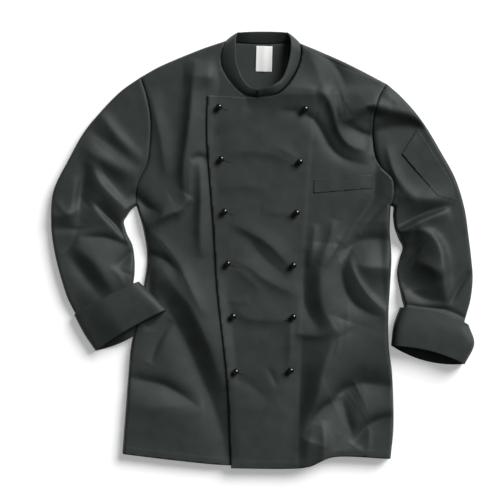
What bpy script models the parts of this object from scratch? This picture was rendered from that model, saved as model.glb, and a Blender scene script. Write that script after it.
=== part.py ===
"""Chef jacket, laid on its back on a table: +Z up, +Y towards the collar, front upwards.

Every piece of cloth is a wall over one shared surface: the jacket swells up from its outline,
and the largest folds are added to that swell. All sizes are in metres. In the tables, left is
-X and right is +X; the pieces are named for the wearer's sides, which are the other way round.
"""
import math
from collections import namedtuple

import bmesh
import bpy
import numpy as np
from mathutils import Matrix, Vector
from mathutils.bvhtree import BVHTree

# ---- cloth and seams
WALL = 0.002                # vertical thickness of a panel
CUFF_WALL = 0.0024          # the cuff is a doubled band
GAP = 0.0003                # space left between pieces at a seam
SEAM_LEVEL = 0.005          # height of the side seams above the table
FRONT_RIM = SEAM_LEVEL + GAP / 2            # underside of a front at the side seam
BACK_RIM = SEAM_LEVEL - GAP / 2 - WALL      # underside of the back at the side seam
CROWN = 0.020               # height of the fronts' underside once clear of an edge
CROWN_REACH = 0.032         # distance from an edge to the full height
BACK_REACH = 0.014          # distance from an edge to the flat of the back
LAP_LIFT = WALL + 0.001     # how much higher the lapped front lies on the other
LAP_RUN = 0.016             # width over which it comes down past the under front's edge
LAP_TUCK = 0.0022           # how much lower the under front lies once it is under the lap
LAP_TOP_CLEAR = 0.006       # how far above the centre the lap still lies over the under front
CUFF_RIM = 0.0131           # top of the cuff at its side edges

# ---- how finely the panels are cut into facets
SIDE_CUTS = 15
ARMHOLE_CUTS = 10
NECK_CUTS = 6
SHOULDER_CUTS = 7
LAP_CUTS = 5
BACK_NECK_CUTS = 4
CURVE_STEPS = 16
FINER = 4                   # how many points a sleeve's edge gets for each ring taken from it
EDGE_STRIP = 0.008          # width of the outermost strip of facets

# ---- the outline, as sections across the body from the hem to the shoulder tips
Section = namedtuple("Section", "y left right")
SIDES = [
    Section(-0.325, -0.256, 0.2435),
    Section(-0.235, -0.249, 0.241),
    Section(-0.180, -0.244, 0.2345),
    Section(-0.120, -0.231, 0.2340),
    Section(-0.060, -0.219, 0.2375),
    Section(-0.015, -0.214, 0.2395),
    Section(0.035, -0.221, 0.2365),
    Section(0.080, -0.234, 0.2380),
]
ARMHOLES = [
    Section(0.105, -0.234, 0.243),
    Section(0.130, -0.227, 0.239),
    Section(0.155, -0.214, 0.216),
    Section(0.185, -0.209, 0.206),
    Section(0.235, -0.207, 0.204),
    Section(0.280, -0.214, 0.215),
]
LEFT_TIP = (-0.226, 0.319)
RIGHT_TIP = (0.231, 0.306)
LEFT_NECK = (-0.069, 0.386)
RIGHT_NECK = (0.072, 0.381)
LEFT_SHOULDER = [LEFT_TIP, (-0.186, 0.341), (-0.116, 0.370), LEFT_NECK]
RIGHT_SHOULDER = [RIGHT_NECK, (0.113, 0.364), (0.164, 0.341), RIGHT_TIP]
BACK_NECK = [LEFT_NECK, (-0.055, 0.381), (0.000, 0.379), (0.057, 0.380), RIGHT_NECK]

# ---- hems
LEFT_HEM = (-0.260, -0.379)
RIGHT_HEM = (0.238, -0.388)
LAP_HEM = (-0.058, -0.405)
RIGHT_FRONT_HEM = [LEFT_HEM, (-0.160, -0.391), (-0.060, -0.400), (0.060, -0.398)]
LEFT_FRONT_HEM = [LAP_HEM, (0.040, -0.406), (0.086, -0.402), (0.135, -0.384), RIGHT_HEM]
BACK_HEM = [LEFT_HEM, (-0.060, -0.400), (0.086, -0.402), RIGHT_HEM]
BACK_HEM_RAISE = 0.006      # the back's hem lies this far inside the front's

# ---- the lap: its free edge, its top edge, and the hidden edge of the front under it
LAP_TOP = (-0.101, 0.284)
CENTRE = (-0.008, 0.279)
LAP_EDGE = [LAP_HEM, (-0.065, -0.240), (-0.083, -0.075), (-0.090, 0.040), (-0.102, 0.200), LAP_TOP]
UNDER_EDGE = [(0.060, -0.398), (0.064, -0.230), (0.070, -0.030), (0.083, 0.160), (0.094, 0.268)]
LEFT_NECKLINE = [LEFT_NECK, (-0.077, 0.345), (-0.066, 0.318), (-0.040, 0.288), CENTRE]
RIGHT_NECKLINE = [CENTRE, (0.030, 0.286), (0.057, 0.316), (0.071, 0.350), RIGHT_NECK]

# ---- the largest folds: a spine from one end to the other, bent sideways, ridges positive
Fold = namedtuple("Fold", "x0 y0 x1 y1 bend width depth")
FOLDS = [
    Fold(-0.135, 0.330, -0.158, 0.075, -0.006, 0.014, -0.007),   # beside the lap, on the chest
    Fold(-0.208, 0.310, -0.176, 0.120, 0.000, 0.016, 0.003),     # under the left shoulder
    Fold(-0.125, 0.120, -0.122, -0.030, 0.000, 0.014, -0.004),
    Fold(-0.130, 0.080, -0.215, 0.030, -0.008, 0.013, -0.005),
    Fold(-0.210, 0.028, -0.120, -0.130, -0.010, 0.016, 0.004),
    Fold(-0.215, -0.030, -0.205, -0.215, 0.000, 0.055, -0.012),  # pressed down by the cuff
    Fold(-0.175, -0.075, -0.060, -0.400, 0.018, 0.021, -0.008),  # long one down to the hem
    Fold(-0.172, -0.150, -0.085, -0.375, 0.010, 0.016, 0.004),
    Fold(-0.250, -0.222, -0.115, -0.290, -0.006, 0.014, -0.004),
    Fold(-0.100, 0.325, 0.095, 0.305, -0.038, 0.028, -0.0085),   # round under the collar
    Fold(0.070, 0.262, 0.180, 0.172, 0.016, 0.017, -0.006),
    Fold(0.095, 0.350, 0.155, 0.200, -0.010, 0.016, 0.004),
    Fold(0.150, 0.240, 0.305, 0.228, 0.006, 0.014, -0.007),      # over the right armhole
    Fold(0.235, 0.105, 0.140, 0.000, 0.004, 0.013, 0.005),       # from the right underarm
    Fold(0.140, 0.004, 0.240, 0.010, -0.012, 0.013, -0.004),
    Fold(0.145, -0.005, 0.215, -0.125, 0.008, 0.015, -0.006),
    Fold(0.165, -0.035, 0.245, -0.138, -0.004, 0.012, 0.005),
    Fold(0.098, 0.000, 0.070, -0.400, 0.004, 0.018, -0.007),     # beside the right buttons
    Fold(0.125, -0.045, 0.125, -0.255, 0.000, 0.016, 0.004),
    Fold(0.225, -0.210, 0.085, -0.345, -0.014, 0.015, -0.007),
    Fold(0.141, -0.275, 0.141, -0.400, 0.000, 0.016, 0.004),
    Fold(0.170, -0.360, 0.245, -0.290, 0.012, 0.014, -0.004),
    Fold(-0.300, 0.255, -0.205, 0.150, 0.000, 0.015, 0.004),     # left sleeve, from the shoulder
    Fold(-0.330, 0.205, -0.235, 0.130, 0.000, 0.014, -0.004),
    Fold(-0.306, 0.150, -0.235, 0.070, 0.000, 0.013, 0.005),
    Fold(-0.355, 0.170, -0.318, 0.045, -0.012, 0.016, -0.006),
    Fold(-0.240, 0.048, -0.325, 0.085, 0.000, 0.016, -0.006),    # inside the left elbow
    Fold(-0.320, 0.075, -0.240, 0.010, 0.000, 0.012, 0.004),
    Fold(-0.350, 0.008, -0.268, -0.095, 0.000, 0.017, -0.007),
    Fold(0.232, 0.130, 0.360, 0.078, 0.006, 0.017, -0.007),      # right sleeve, under the arm
    Fold(0.245, 0.036, 0.350, 0.080, 0.000, 0.012, 0.005),
    Fold(0.285, 0.050, 0.338, -0.110, 0.026, 0.013, 0.005),
    Fold(0.262, -0.010, 0.318, -0.075, 0.000, 0.028, -0.007),
]

# ---- sleeves, as sections from the armhole to the band that the cuff is sewn to
SleeveRow = namedtuple("SleeveRow", "outer_x outer_y inner_x inner_y crown lift_outer lift_inner")
LEFT_SLEEVE = [
    SleeveRow(-0.264, 0.292, -0.241, 0.075, 0.020, 0.000, 0.000),
    SleeveRow(-0.301, 0.254, -0.247, 0.068, 0.020, 0.000, 0.000),
    SleeveRow(-0.332, 0.216, -0.252, 0.060, 0.021, 0.000, 0.000),
    SleeveRow(-0.360, 0.166, -0.257, 0.052, 0.022, 0.000, 0.000),
    SleeveRow(-0.388, 0.108, -0.256, 0.043, 0.022, 0.000, 0.000),
    SleeveRow(-0.3925, 0.050, -0.251, 0.027, 0.021, 0.000, 0.000),
    SleeveRow(-0.388, 0.005, -0.241, 0.006, 0.020, 0.000, 0.000),
    SleeveRow(-0.378, -0.040, -0.237, -0.022, 0.020, 0.000, 0.002),
    SleeveRow(-0.363, -0.088, -0.237, -0.046, 0.018, 0.001, 0.006),
    SleeveRow(-0.340, -0.118, -0.2385, -0.066, 0.0120, 0.0040, 0.0122),
    SleeveRow(-0.330, -0.138, -0.2330, -0.086, 0.0120, 0.0040, 0.0164),
]
RIGHT_SLEEVE = [
    SleeveRow(0.262, 0.278, 0.2430, 0.077, 0.020, 0.000, 0.000),
    SleeveRow(0.300, 0.232, 0.2425, 0.068, 0.020, 0.000, 0.000),
    SleeveRow(0.332, 0.179, 0.2425, 0.058, 0.021, 0.000, 0.000),
    SleeveRow(0.358, 0.131, 0.2455, 0.038, 0.022, 0.000, 0.000),
    SleeveRow(0.375, 0.076, 0.253, 0.018, 0.022, 0.000, 0.000),
    SleeveRow(0.383, 0.022, 0.260, 0.002, 0.021, 0.000, 0.000),
    SleeveRow(0.388, -0.020, 0.254, -0.020, 0.021, 0.000, 0.000),
    SleeveRow(0.3905, -0.055, 0.250, -0.048, 0.021, 0.000, 0.000),
    SleeveRow(0.386, -0.095, 0.258, -0.090, 0.021, 0.001, 0.001),
    SleeveRow(0.375, -0.134, 0.262, -0.110, 0.021, 0.003, 0.003),
    SleeveRow(0.372, -0.158, 0.256, -0.132, 0.021, 0.003, 0.003),
]
SLEEVE_STRETCH_CUTS = 14    # rings from the armhole to the cuff
ARMHOLE_FADE = (1.0, 0.55, 0.25)            # share of the armhole's curve that the first rings keep

# ---- turned-up cuffs, from their top edge to the mouth; a bow bends a section line towards
# the shoulder, on the upper and on the under layer
CuffRow = namedtuple("CuffRow", "outer_x outer_y inner_x inner_y crown lift bow_upper bow_under")
LEFT_CUFF = [
    CuffRow(-0.349, -0.122, -0.229, -0.060, 0.025, 0.008, 0.003, 0.000),
    CuffRow(-0.330, -0.158, -0.203, -0.085, 0.025, 0.0155, 0.003, -0.004),
    CuffRow(-0.309, -0.189, -0.177, -0.112, 0.024, 0.0155, 0.004, -0.012),
]
RIGHT_CUFF = [
    CuffRow(0.382, -0.141, 0.255, -0.108, 0.030, 0.000, 0.011, 0.000),
    CuffRow(0.392, -0.176, 0.243, -0.142, 0.034, 0.000, 0.010, -0.006),
    CuffRow(0.374, -0.214, 0.2385, -0.179, 0.034, 0.000, 0.008, -0.012),
]
CUFF_CUTS = 4
CUFF_REACH = 0.045
LIFT_FROM = 0.05            # across a cuff, where its underside starts to rise over the body
LIFT_FULL = 0.47            # and where it has risen in full

# ---- stand collar: sections from the left end, round the back, to the right end
CollarRow = namedtuple("CollarRow", "seam_x seam_y top_x top_y rise on_back")
COLLAR_ROWS = [
    CollarRow(-0.0083, 0.280, -0.0083, 0.294, 0.008, False),
    CollarRow(-0.037, 0.288, -0.023, 0.299, 0.008, False),
    CollarRow(-0.062, 0.315, -0.038, 0.317, 0.008, False),
    CollarRow(-0.075, 0.345, -0.048, 0.348, 0.009, False),
    CollarRow(-0.072, 0.372, -0.049, 0.384, 0.009, False),
    CollarRow(-0.066, 0.387, -0.046, 0.400, 0.008, False),
    CollarRow(-0.045, 0.384, -0.030, 0.402, 0.007, True),
    CollarRow(-0.015, 0.382, -0.010, 0.403, 0.007, True),
    CollarRow(0.015, 0.382, 0.012, 0.403, 0.007, True),
    CollarRow(0.045, 0.384, 0.032, 0.402, 0.007, True),
    CollarRow(0.069, 0.383, 0.047, 0.400, 0.008, False),
    CollarRow(0.070, 0.370, 0.052, 0.383, 0.009, False),
    CollarRow(0.067, 0.345, 0.049, 0.350, 0.009, False),
    CollarRow(0.053, 0.316, 0.037, 0.316, 0.008, False),
    CollarRow(0.028, 0.289, 0.017, 0.300, 0.008, False),
    CollarRow(-0.0077, 0.280, -0.0077, 0.294, 0.008, False),
]
COLLAR_WALL = 0.0022
COLLAR_CLEAR = 0.0022       # from the panel's face to the middle of the collar's lower edge
COLLAR_BULGE = 0.003        # how far the band bows outwards at half height
NECK_CENTRE = (0.0, 0.345)

# ---- pockets, label and buttons
WELT_CORNERS = [(0.095, 0.128), (0.094, 0.103), (0.203, 0.112), (0.203, 0.137)]
SLEEVE_POCKET_CORNERS = [(0.258, 0.176), (0.323, 0.098), (0.357, 0.089), (0.349, 0.124), (0.287, 0.222)]
PATCH_RISE = 0.0006
PATCH_WALL = 0.0012
LABEL_SIZE = (0.030, 0.048, 0.001)
LABEL_CENTRE = (0.003, 0.353)
LABEL_TURN = math.radians(-1.5)
LABEL_REST = WALL + GAP
BALL_RADIUS = 0.0060
SHANK_RADIUS = 0.0024
SHANK_HEIGHT = 0.0018
BALL_LEVEL = SHANK_HEIGHT + 0.92 * BALL_RADIUS      # the ball's middle, above the shank's foot
BELLY_RADII = (0.7 * BALL_RADIUS, 0.9 * BALL_RADIUS)   # rings of the ball that must clear the cloth
BUTTON_CLEAR = 0.0004
BUTTON_SIDES = 14
BUTTON_STEPS = 7            # facets from the shank to the top of the ball
SHARP_ANGLE = math.radians(40)
ButtonRow = namedtuple("ButtonRow", "left_x left_y right_x right_y")
BUTTONS = [
    ButtonRow(-0.080, 0.262, 0.079, 0.258),
    ButtonRow(-0.076, 0.166, 0.069, 0.161),
    ButtonRow(-0.070, 0.069, 0.063, 0.067),
    ButtonRow(-0.064, -0.027, 0.057, -0.030),
    ButtonRow(-0.054, -0.124, 0.057, -0.125),
    ButtonRow(-0.049, -0.226, 0.052, -0.224),
]

Finish = namedtuple("Finish", "colour roughness sheen")
TWILL = Finish((0.035, 0.042, 0.041, 1.0), 0.62, 0.25)
WOVEN_LABEL = Finish((0.86, 0.86, 0.85, 1.0), 0.70, 0.10)
BLACK_PLASTIC = Finish((0.006, 0.006, 0.006, 1.0), 0.12, 0.0)


def smooth_line(points, cuts, stops=None):
    """Points along a smooth curve through the given ones, at equal steps or at given parts of it."""
    line = np.array(points, float)
    if len(line) > 2:
        padded = np.vstack([2 * line[0] - line[1], line, 2 * line[-1] - line[-2]])
        t = np.linspace(0, 1, CURVE_STEPS, endpoint=False)[:, None]
        runs = []
        for a, b, c, d in zip(padded, padded[1:], padded[2:], padded[3:]):
            runs.append(0.5 * (2 * b + (c - a) * t + (2 * a - 5 * b + 4 * c - d) * t ** 2
                               + (3 * b - a - 3 * c + d) * t ** 3))
        line = np.vstack(runs + [line[-1:]])
    run = np.concatenate([[0], np.cumsum(np.linalg.norm(np.diff(line, axis=0), axis=1))])
    wanted = np.linspace(0, 1, cuts + 1) if stops is None else stops
    return np.column_stack([np.interp(wanted * run[-1], run, column) for column in line.T])


def join_lines(*lines):
    """One line from several that meet end to end."""
    return np.vstack([lines[0]] + [line[1:] for line in lines[1:]])


def crowded_ends(cuts):
    """Parts of a length that lie closer together at both of its ends."""
    return (1 - np.cos(np.pi * np.linspace(0, 1, cuts + 1))) / 2


def patch(bottom, top, left, right):
    """Fill four edge lines that meet at their corners with rows of points, bottom row first."""
    u = np.linspace(0, 1, len(bottom))[None, :, None]
    v = ((right[:, 1] - right[0, 1]) / (right[-1, 1] - right[0, 1]))[:, None, None]
    across = (1 - v) * bottom[None] + v * top[None]
    upwards = (1 - u) * left[:, None] + u * right[:, None]
    corners = ((1 - u) * (1 - v) * bottom[0] + u * (1 - v) * bottom[-1]
               + (1 - u) * v * top[0] + u * v * top[-1])
    return across + upwards - corners


def tighten(plan, edge, beside):
    """Move the column beside an edge to the width of the outermost strip."""
    step = plan[:, beside] - plan[:, edge]
    plan[:, beside] = plan[:, edge] + step / np.linalg.norm(step, axis=1)[:, None] * EDGE_STRIP


def edge_distance(points, lines):
    """Distance in plan from each point to the nearest of the lines."""
    flat = points.reshape(-1, 2)
    nearest = np.full(len(flat), np.inf)
    for line in lines:
        for start, end in zip(line[:-1], line[1:]):
            step = end - start
            t = np.clip((flat - start) @ step / (step @ step), 0, 1)[:, None]
            nearest = np.minimum(nearest, np.linalg.norm(flat - start - t * step, axis=1))
    return nearest.reshape(points.shape[:-1])


def swell(distance, reach):
    """How far the cloth has risen, from 0 on its edge to 1."""
    return 1 - (1 - np.clip(distance / reach, 0, 1)) ** 2


def relief(points):
    """Height that the folds add at each point."""
    flat = points.reshape(-1, 2)
    total = np.zeros(len(flat))
    t = np.linspace(0, 1, CURVE_STEPS)[:, None]
    for fold in FOLDS:
        start, end = np.array([fold.x0, fold.y0]), np.array([fold.x1, fold.y1])
        along = end - start
        sideways = np.array([-along[1], along[0]]) / np.linalg.norm(along)
        spine = start + along * t + sideways * fold.bend * 4 * t * (1 - t)
        away = np.linalg.norm(flat[:, None] - spine[None], axis=2)
        at = t[away.argmin(axis=1), 0]
        total += fold.depth * np.exp(-(away.min(axis=1) / fold.width) ** 2) * np.sqrt(4 * at * (1 - at))
    return total.reshape(points.shape[:-1])


def front_under(points, edges, crown=CROWN):
    """Height of the underside of the upper layer."""
    return FRONT_RIM + (crown - FRONT_RIM + relief(points)) * swell(edge_distance(points, edges), CROWN_REACH)


def back_under(points, edges):
    """Height of the underside of the layer that lies on the table."""
    return BACK_RIM * (1 - swell(edge_distance(points, edges), BACK_REACH))


def lap_lift(points):
    """How much higher the lapped front lies because of the front under it."""
    under_x = np.interp(points[..., 1], [p[1] for p in UNDER_EDGE], [p[0] for p in UNDER_EDGE])
    past = np.clip((points[..., 0] - under_x - GAP) / LAP_RUN, 0, 1)
    above = np.clip((points[..., 1] - CENTRE[1] - LAP_TOP_CLEAR) / LAP_RUN, 0, 1)
    return LAP_LIFT * (1 - past * past * (3 - 2 * past)) * (1 - above)


def lap_tuck(points):
    """How much lower the under front lies where the lap covers it."""
    lap_x = np.interp(points[..., 1], [p[1] for p in LAP_EDGE], [p[0] for p in LAP_EDGE])
    inside = np.clip((points[..., 0] - lap_x) / LAP_RUN, 0, 1)
    below = np.clip((LAP_TOP[1] + LAP_RUN - points[..., 1]) / LAP_RUN, 0, 1)
    return LAP_TUCK * inside * below


def material(name, finish):
    mat = bpy.data.materials.new(name)
    mat.use_nodes = True
    shader = mat.node_tree.nodes["Principled BSDF"]
    shader.inputs["Base Color"].default_value = finish.colour
    shader.inputs["Roughness"].default_value = finish.roughness
    shader.inputs["Metallic"].default_value = 0.0
    shader.inputs["Sheen Weight"].default_value = finish.sheen
    mat.diffuse_color = finish.colour
    return mat


def add_object(name, bm, finish):
    """Turn a closed shape outwards and put it in the scene under its own name and material."""
    bmesh.ops.recalc_face_normals(bm, faces=bm.faces)
    mesh = bpy.data.meshes.new(name)
    bm.to_mesh(mesh)
    bm.free()
    mesh.materials.append(material(name, finish))
    obj = bpy.data.objects.new(name, mesh)
    bpy.context.scene.collection.objects.link(obj)
    return obj


def surface(plan, height):
    """A faceted surface through rows of points."""
    rows, columns = height.shape
    bm = bmesh.new()
    bmesh.ops.create_grid(bm, x_segments=columns - 1, y_segments=rows - 1, size=0.5)
    for vert in bm.verts:
        column = round((vert.co.x + 0.5) * (columns - 1))
        row = round((vert.co.y + 0.5) * (rows - 1))
        vert.co = (*plan[row, column], height[row, column])
    bmesh.ops.triangulate(bm, faces=bm.faces, quad_method="FIXED")
    return bm


def thicken(bm, wall):
    """Give a surface an upper face, straight above it."""
    grown = bmesh.ops.extrude_face_region(bm, geom=bm.faces[:])
    risen = [item for item in grown["geom"] if isinstance(item, bmesh.types.BMVert)]
    bmesh.ops.translate(bm, verts=risen, vec=(0, 0, wall))


def panel(name, plan, under):
    bm = surface(plan, under)
    thicken(bm, WALL)
    return add_object(name, bm, TWILL)


def outer_face(plan, under):
    """The upper face of a panel, to rest things on."""
    bm = surface(plan, under + WALL)
    face = BVHTree.FromBMesh(bm)
    bm.free()
    return face


def face_height(face, x, y):
    hit = face.ray_cast(Vector((x, y, 1.0)), Vector((0, 0, -1)))[0]
    return hit.z


def patch_on(name, plan, height, corners):
    """A flat-sewn patch: the facets below it, cut to its outline and moved out."""
    bm = surface(plan, height + PATCH_RISE)
    for (x0, y0), (x1, y1) in zip(corners, corners[1:] + corners[:1]):
        geom = bm.verts[:] + bm.edges[:] + bm.faces[:]
        bmesh.ops.bisect_plane(bm, geom=geom, dist=1e-6, plane_co=(x0, y0, 0),
                               plane_no=(y1 - y0, x0 - x1, 0), clear_outer=True)
    thicken(bm, PATCH_WALL)
    return add_object(name, bm, TWILL)


def tube(name, upper, under, top, bottom, wall):
    """A flattened tube from its upper and under layers, with an inner face one wall inside."""
    def ring(upper_row, under_row, top_row, bottom_row):
        points = np.vstack([upper_row, under_row[::-1]])
        return np.column_stack([points, np.concatenate([top_row, bottom_row[::-1]])])

    def inset(row):
        row = row.copy()
        for end, beside in ((0, 1), (-1, -2)):
            step = row[beside] - row[end]
            row[end] += step / np.linalg.norm(step) * wall
        return row

    bm = bmesh.new()
    rings = []
    for k in range(len(upper)):
        outer = ring(upper[k], under[k], top[k], bottom[k])
        inner = ring(inset(upper[k]), inset(under[k]), top[k] - wall, bottom[k] + wall)
        rings.append(([bm.verts.new(p) for p in outer], [bm.verts.new(p) for p in inner]))
    count = len(rings[0][0])
    for skin in (0, 1):
        for near, far in zip(rings[:-1], rings[1:]):
            for i in range(count):
                j = (i + 1) % count
                bm.faces.new((near[skin][i], near[skin][j], far[skin][j], far[skin][i]))
    for outer, inner in (rings[0], rings[-1]):
        for i in range(count):
            j = (i + 1) % count
            bm.faces.new((outer[i], outer[j], inner[j], inner[i]))
    bmesh.ops.triangulate(bm, faces=bm.faces, quad_method="FIXED")
    return add_object(name, bm, TWILL)


def bowed(row_start, row_end, bow, stops):
    """A section line between two points, bent towards the shoulder."""
    start, end = np.array(row_start), np.array(row_end)
    along = end - start
    sideways = np.array([-along[1], along[0]]) / np.linalg.norm(along)
    sideways = sideways if sideways[1] > 0 else -sideways
    t = stops[:, None]
    return start + along * t + sideways * bow * 4 * t * (1 - t)


def sleeve_plan(rows, armhole):
    """Section lines from the armhole down the sleeve, and each one's crown and two lifts."""
    outer = np.array([armhole[0]] + [(row.outer_x, row.outer_y) for row in rows])
    inner = np.array([armhole[-1]] + [(row.inner_x, row.inner_y) for row in rows])
    extra = np.array([(CROWN, 0, 0)] + [(row.crown, row.lift_outer, row.lift_inner) for row in rows])
    where = np.linspace(0, 1, len(outer))
    ends = smooth_line(np.column_stack([where, outer, inner]), FINER * SLEEVE_STRETCH_CUTS)
    wanted = np.linspace(0, 1, SLEEVE_STRETCH_CUTS + 1)
    ends = np.column_stack([np.interp(wanted, ends[:, 0], ends[:, i]) for i in range(1, 5)])
    extra = np.column_stack([np.interp(wanted, where, column) for column in extra.T])
    stops = crowded_ends(ARMHOLE_CUTS)
    lines = np.array([bowed(end[:2], end[2:], 0, stops) for end in ends])
    curve = armhole - bowed(armhole[0], armhole[-1], 0, stops)
    for k, fade in enumerate(ARMHOLE_FADE):
        lines[k] += curve * fade
    return lines, extra


def risen_across(stops):
    """Share of a lift at each part of the way across, from the outer edge to the inner."""
    t = np.clip((stops - LIFT_FROM) / (LIFT_FULL - LIFT_FROM), 0, 1)
    return t * t * (3 - 2 * t)


def main_cloth():
    """The body's panels, the sleeves, and what is sewn on them."""
    left_side = smooth_line([LEFT_HEM] + [(row.left, row.y) for row in SIDES], SIDE_CUTS)
    right_side = smooth_line([RIGHT_HEM] + [(row.right, row.y) for row in SIDES], SIDE_CUTS)
    rounded = crowded_ends(ARMHOLE_CUTS)
    left_armhole = smooth_line([(SIDES[-1].left, SIDES[-1].y)] + [(row.left, row.y) for row in ARMHOLES]
                               + [LEFT_TIP], None, rounded)
    right_armhole = smooth_line([(SIDES[-1].right, SIDES[-1].y)] + [(row.right, row.y) for row in ARMHOLES]
                                + [RIGHT_TIP], None, rounded)
    left_shoulder = smooth_line(LEFT_SHOULDER, SHOULDER_CUTS)
    right_shoulder = smooth_line(RIGHT_SHOULDER, SHOULDER_CUTS)

    left_lines, left_extra = sleeve_plan(LEFT_SLEEVE, left_armhole[::-1])
    right_lines, right_extra = sleeve_plan(RIGHT_SLEEVE, right_armhole[::-1])
    left_edges = [left_side, left_shoulder, left_lines[:, 0], left_lines[:, -1]]
    right_edges = [right_side, right_shoulder, right_lines[:, 0], right_lines[:, -1]]
    edges = left_edges + right_edges

    left_edge = join_lines(left_side, left_armhole)
    right_edge = join_lines(right_side, right_armhole)

    # back
    neck = smooth_line(BACK_NECK, BACK_NECK_CUTS)
    back_top = join_lines(left_shoulder, neck, right_shoulder)
    plan = patch(smooth_line(BACK_HEM, len(back_top) - 1), back_top, left_edge, right_edge)
    plan[0, :, 1] += BACK_HEM_RAISE
    tighten(plan, 0, 1)
    tighten(plan, -1, -2)
    panel("back", plan, back_under(plan, edges))

    # front under the lap
    columns = SHOULDER_CUTS + NECK_CUTS + LAP_CUTS
    top = join_lines(left_shoulder, smooth_line(LEFT_NECKLINE, NECK_CUTS),
                     smooth_line([CENTRE, UNDER_EDGE[-1]], LAP_CUTS))
    parts = (left_edge[:, 1] - left_edge[0, 1]) / (left_edge[-1, 1] - left_edge[0, 1])
    under_edge = smooth_line(UNDER_EDGE, None, parts)
    plan = patch(smooth_line(RIGHT_FRONT_HEM, columns), top, left_edge, under_edge)
    tighten(plan, 0, 1)
    panel("front_right", plan, front_under(plan, edges) - lap_tuck(plan))

    # front with the lap
    top = join_lines(smooth_line([LAP_TOP, CENTRE], LAP_CUTS), smooth_line(RIGHT_NECKLINE, NECK_CUTS),
                     right_shoulder)
    parts = (right_edge[:, 1] - right_edge[0, 1]) / (right_edge[-1, 1] - right_edge[0, 1])
    lap_edge = smooth_line(LAP_EDGE, None, parts)
    plan = patch(smooth_line(LEFT_FRONT_HEM, columns), top, lap_edge, right_edge)
    tighten(plan, -1, -2)
    under = front_under(plan, edges) + lap_lift(plan)
    panel("front_left", plan, under)
    patch_on("chest_pocket_welt", plan, under + WALL, WELT_CORNERS)
    lapped_face = outer_face(plan, under)

    # sleeves
    for name, away, lines, extra, near in (("sleeve_right", -1, left_lines, left_extra, left_edges),
                                           ("sleeve_left", 1, right_lines, right_extra, right_edges)):
        lines = lines.copy()
        lines[0, :, 0] += away * 2 * GAP
        crown = extra[:, 0][:, None]
        across = risen_across(crowded_ends(ARMHOLE_CUTS))[None]
        lift = extra[:, 1][:, None] * (1 - across) + extra[:, 2][:, None] * across
        top = front_under(lines, near, crown) + WALL + lift
        bottom = back_under(lines, near) + lift
        tube(name, lines, lines, top, bottom, WALL)
    patch_on("sleeve_pocket", lines, top, SLEEVE_POCKET_CORNERS)
    return edges, lapped_face


def cuffs():
    """Turned-up bands round the sleeve ends, open at the mouth."""
    stops = crowded_ends(ARMHOLE_CUTS)
    for name, rows in (("cuff_right", LEFT_CUFF), ("cuff_left", RIGHT_CUFF)):
        table = smooth_line(np.array(rows), CUFF_CUTS)
        upper = np.array([bowed(row[0:2], row[2:4], row[6], stops) for row in table])
        under = np.array([bowed(row[0:2], row[2:4], row[7], stops) for row in table])
        sides = [upper[:, 0], upper[:, -1]]
        lift = table[:, 5][:, None] * risen_across(stops)[None]
        crown = table[:, 4][:, None]
        top = CUFF_RIM + (crown - CUFF_RIM) * swell(edge_distance(upper, sides), CUFF_REACH) + lift
        bottom = BACK_RIM * (1 - swell(edge_distance(under, sides), BACK_REACH)) + lift
        tube(name, upper, under, top, bottom, CUFF_WALL)


def collar(edges):
    """The band that stands round the neck, sewn to the fronts and the back."""
    rows = []
    for row in COLLAR_ROWS:
        seam = np.array([row.seam_x, row.seam_y])
        cloth = back_under(seam, edges) if row.on_back else front_under(seam, edges)
        lapped = lap_lift(seam) if row.seam_x > CENTRE[0] and not row.on_back else 0
        base = float(cloth + lapped) + WALL + COLLAR_CLEAR
        rows.append((row.seam_x, row.seam_y, base, row.top_x, row.top_y, base + row.rise))
    line = smooth_line(rows, 2 * (len(rows) - 1))
    middle = (line[:, :3] + line[:, 3:]) / 2
    outwards = middle[:, :2] - NECK_CENTRE
    middle[:, :2] += outwards / np.linalg.norm(outwards, axis=1)[:, None] * COLLAR_BULGE
    bm = bmesh.new()
    levels = [[bm.verts.new(p) for p in level] for level in (line[:, :3], middle, line[:, 3:])]
    for low, high in zip(levels[:-1], levels[1:]):
        for i in range(len(low) - 1):
            bm.faces.new((low[i], low[i + 1], high[i + 1], high[i]))
    band = add_object("collar", bm, TWILL)
    wall = band.modifiers.new("wall", "SOLIDIFY")
    wall.thickness = COLLAR_WALL
    wall.offset = 0
    wall.use_even_offset = True


def label():
    bm = bmesh.new()
    bmesh.ops.create_cube(bm, size=1)
    bmesh.ops.scale(bm, verts=bm.verts, vec=LABEL_SIZE)
    bmesh.ops.rotate(bm, verts=bm.verts, matrix=Matrix.Rotation(LABEL_TURN, 3, "Z"))
    bmesh.ops.translate(bm, verts=bm.verts, vec=(*LABEL_CENTRE, LABEL_REST + LABEL_SIZE[2] / 2))
    add_object("neck_label", bm, WOVEN_LABEL)


def button_shape():
    """A ball on a short shank, turned about Z, standing on its own origin."""
    first = math.asin(SHANK_RADIUS / BALL_RADIUS)
    profile = [(0, 0), (SHANK_RADIUS, 0)]
    for step in range(BUTTON_STEPS + 1):
        angle = first + (math.pi - first) * step / BUTTON_STEPS
        profile.append((BALL_RADIUS * math.sin(angle), BALL_LEVEL - BALL_RADIUS * math.cos(angle)))
    bm = bmesh.new()
    verts = [bm.verts.new((max(r, 0), 0, z)) for r, z in profile]
    edges = [bm.edges.new(pair) for pair in zip(verts[:-1], verts[1:])]
    bmesh.ops.spin(bm, geom=verts + edges, cent=(0, 0, 0), axis=(0, 0, 1), steps=BUTTON_SIDES,
                   angle=2 * math.pi, use_merge=True)
    bmesh.ops.remove_doubles(bm, verts=bm.verts, dist=1e-5)
    return bm


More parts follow.
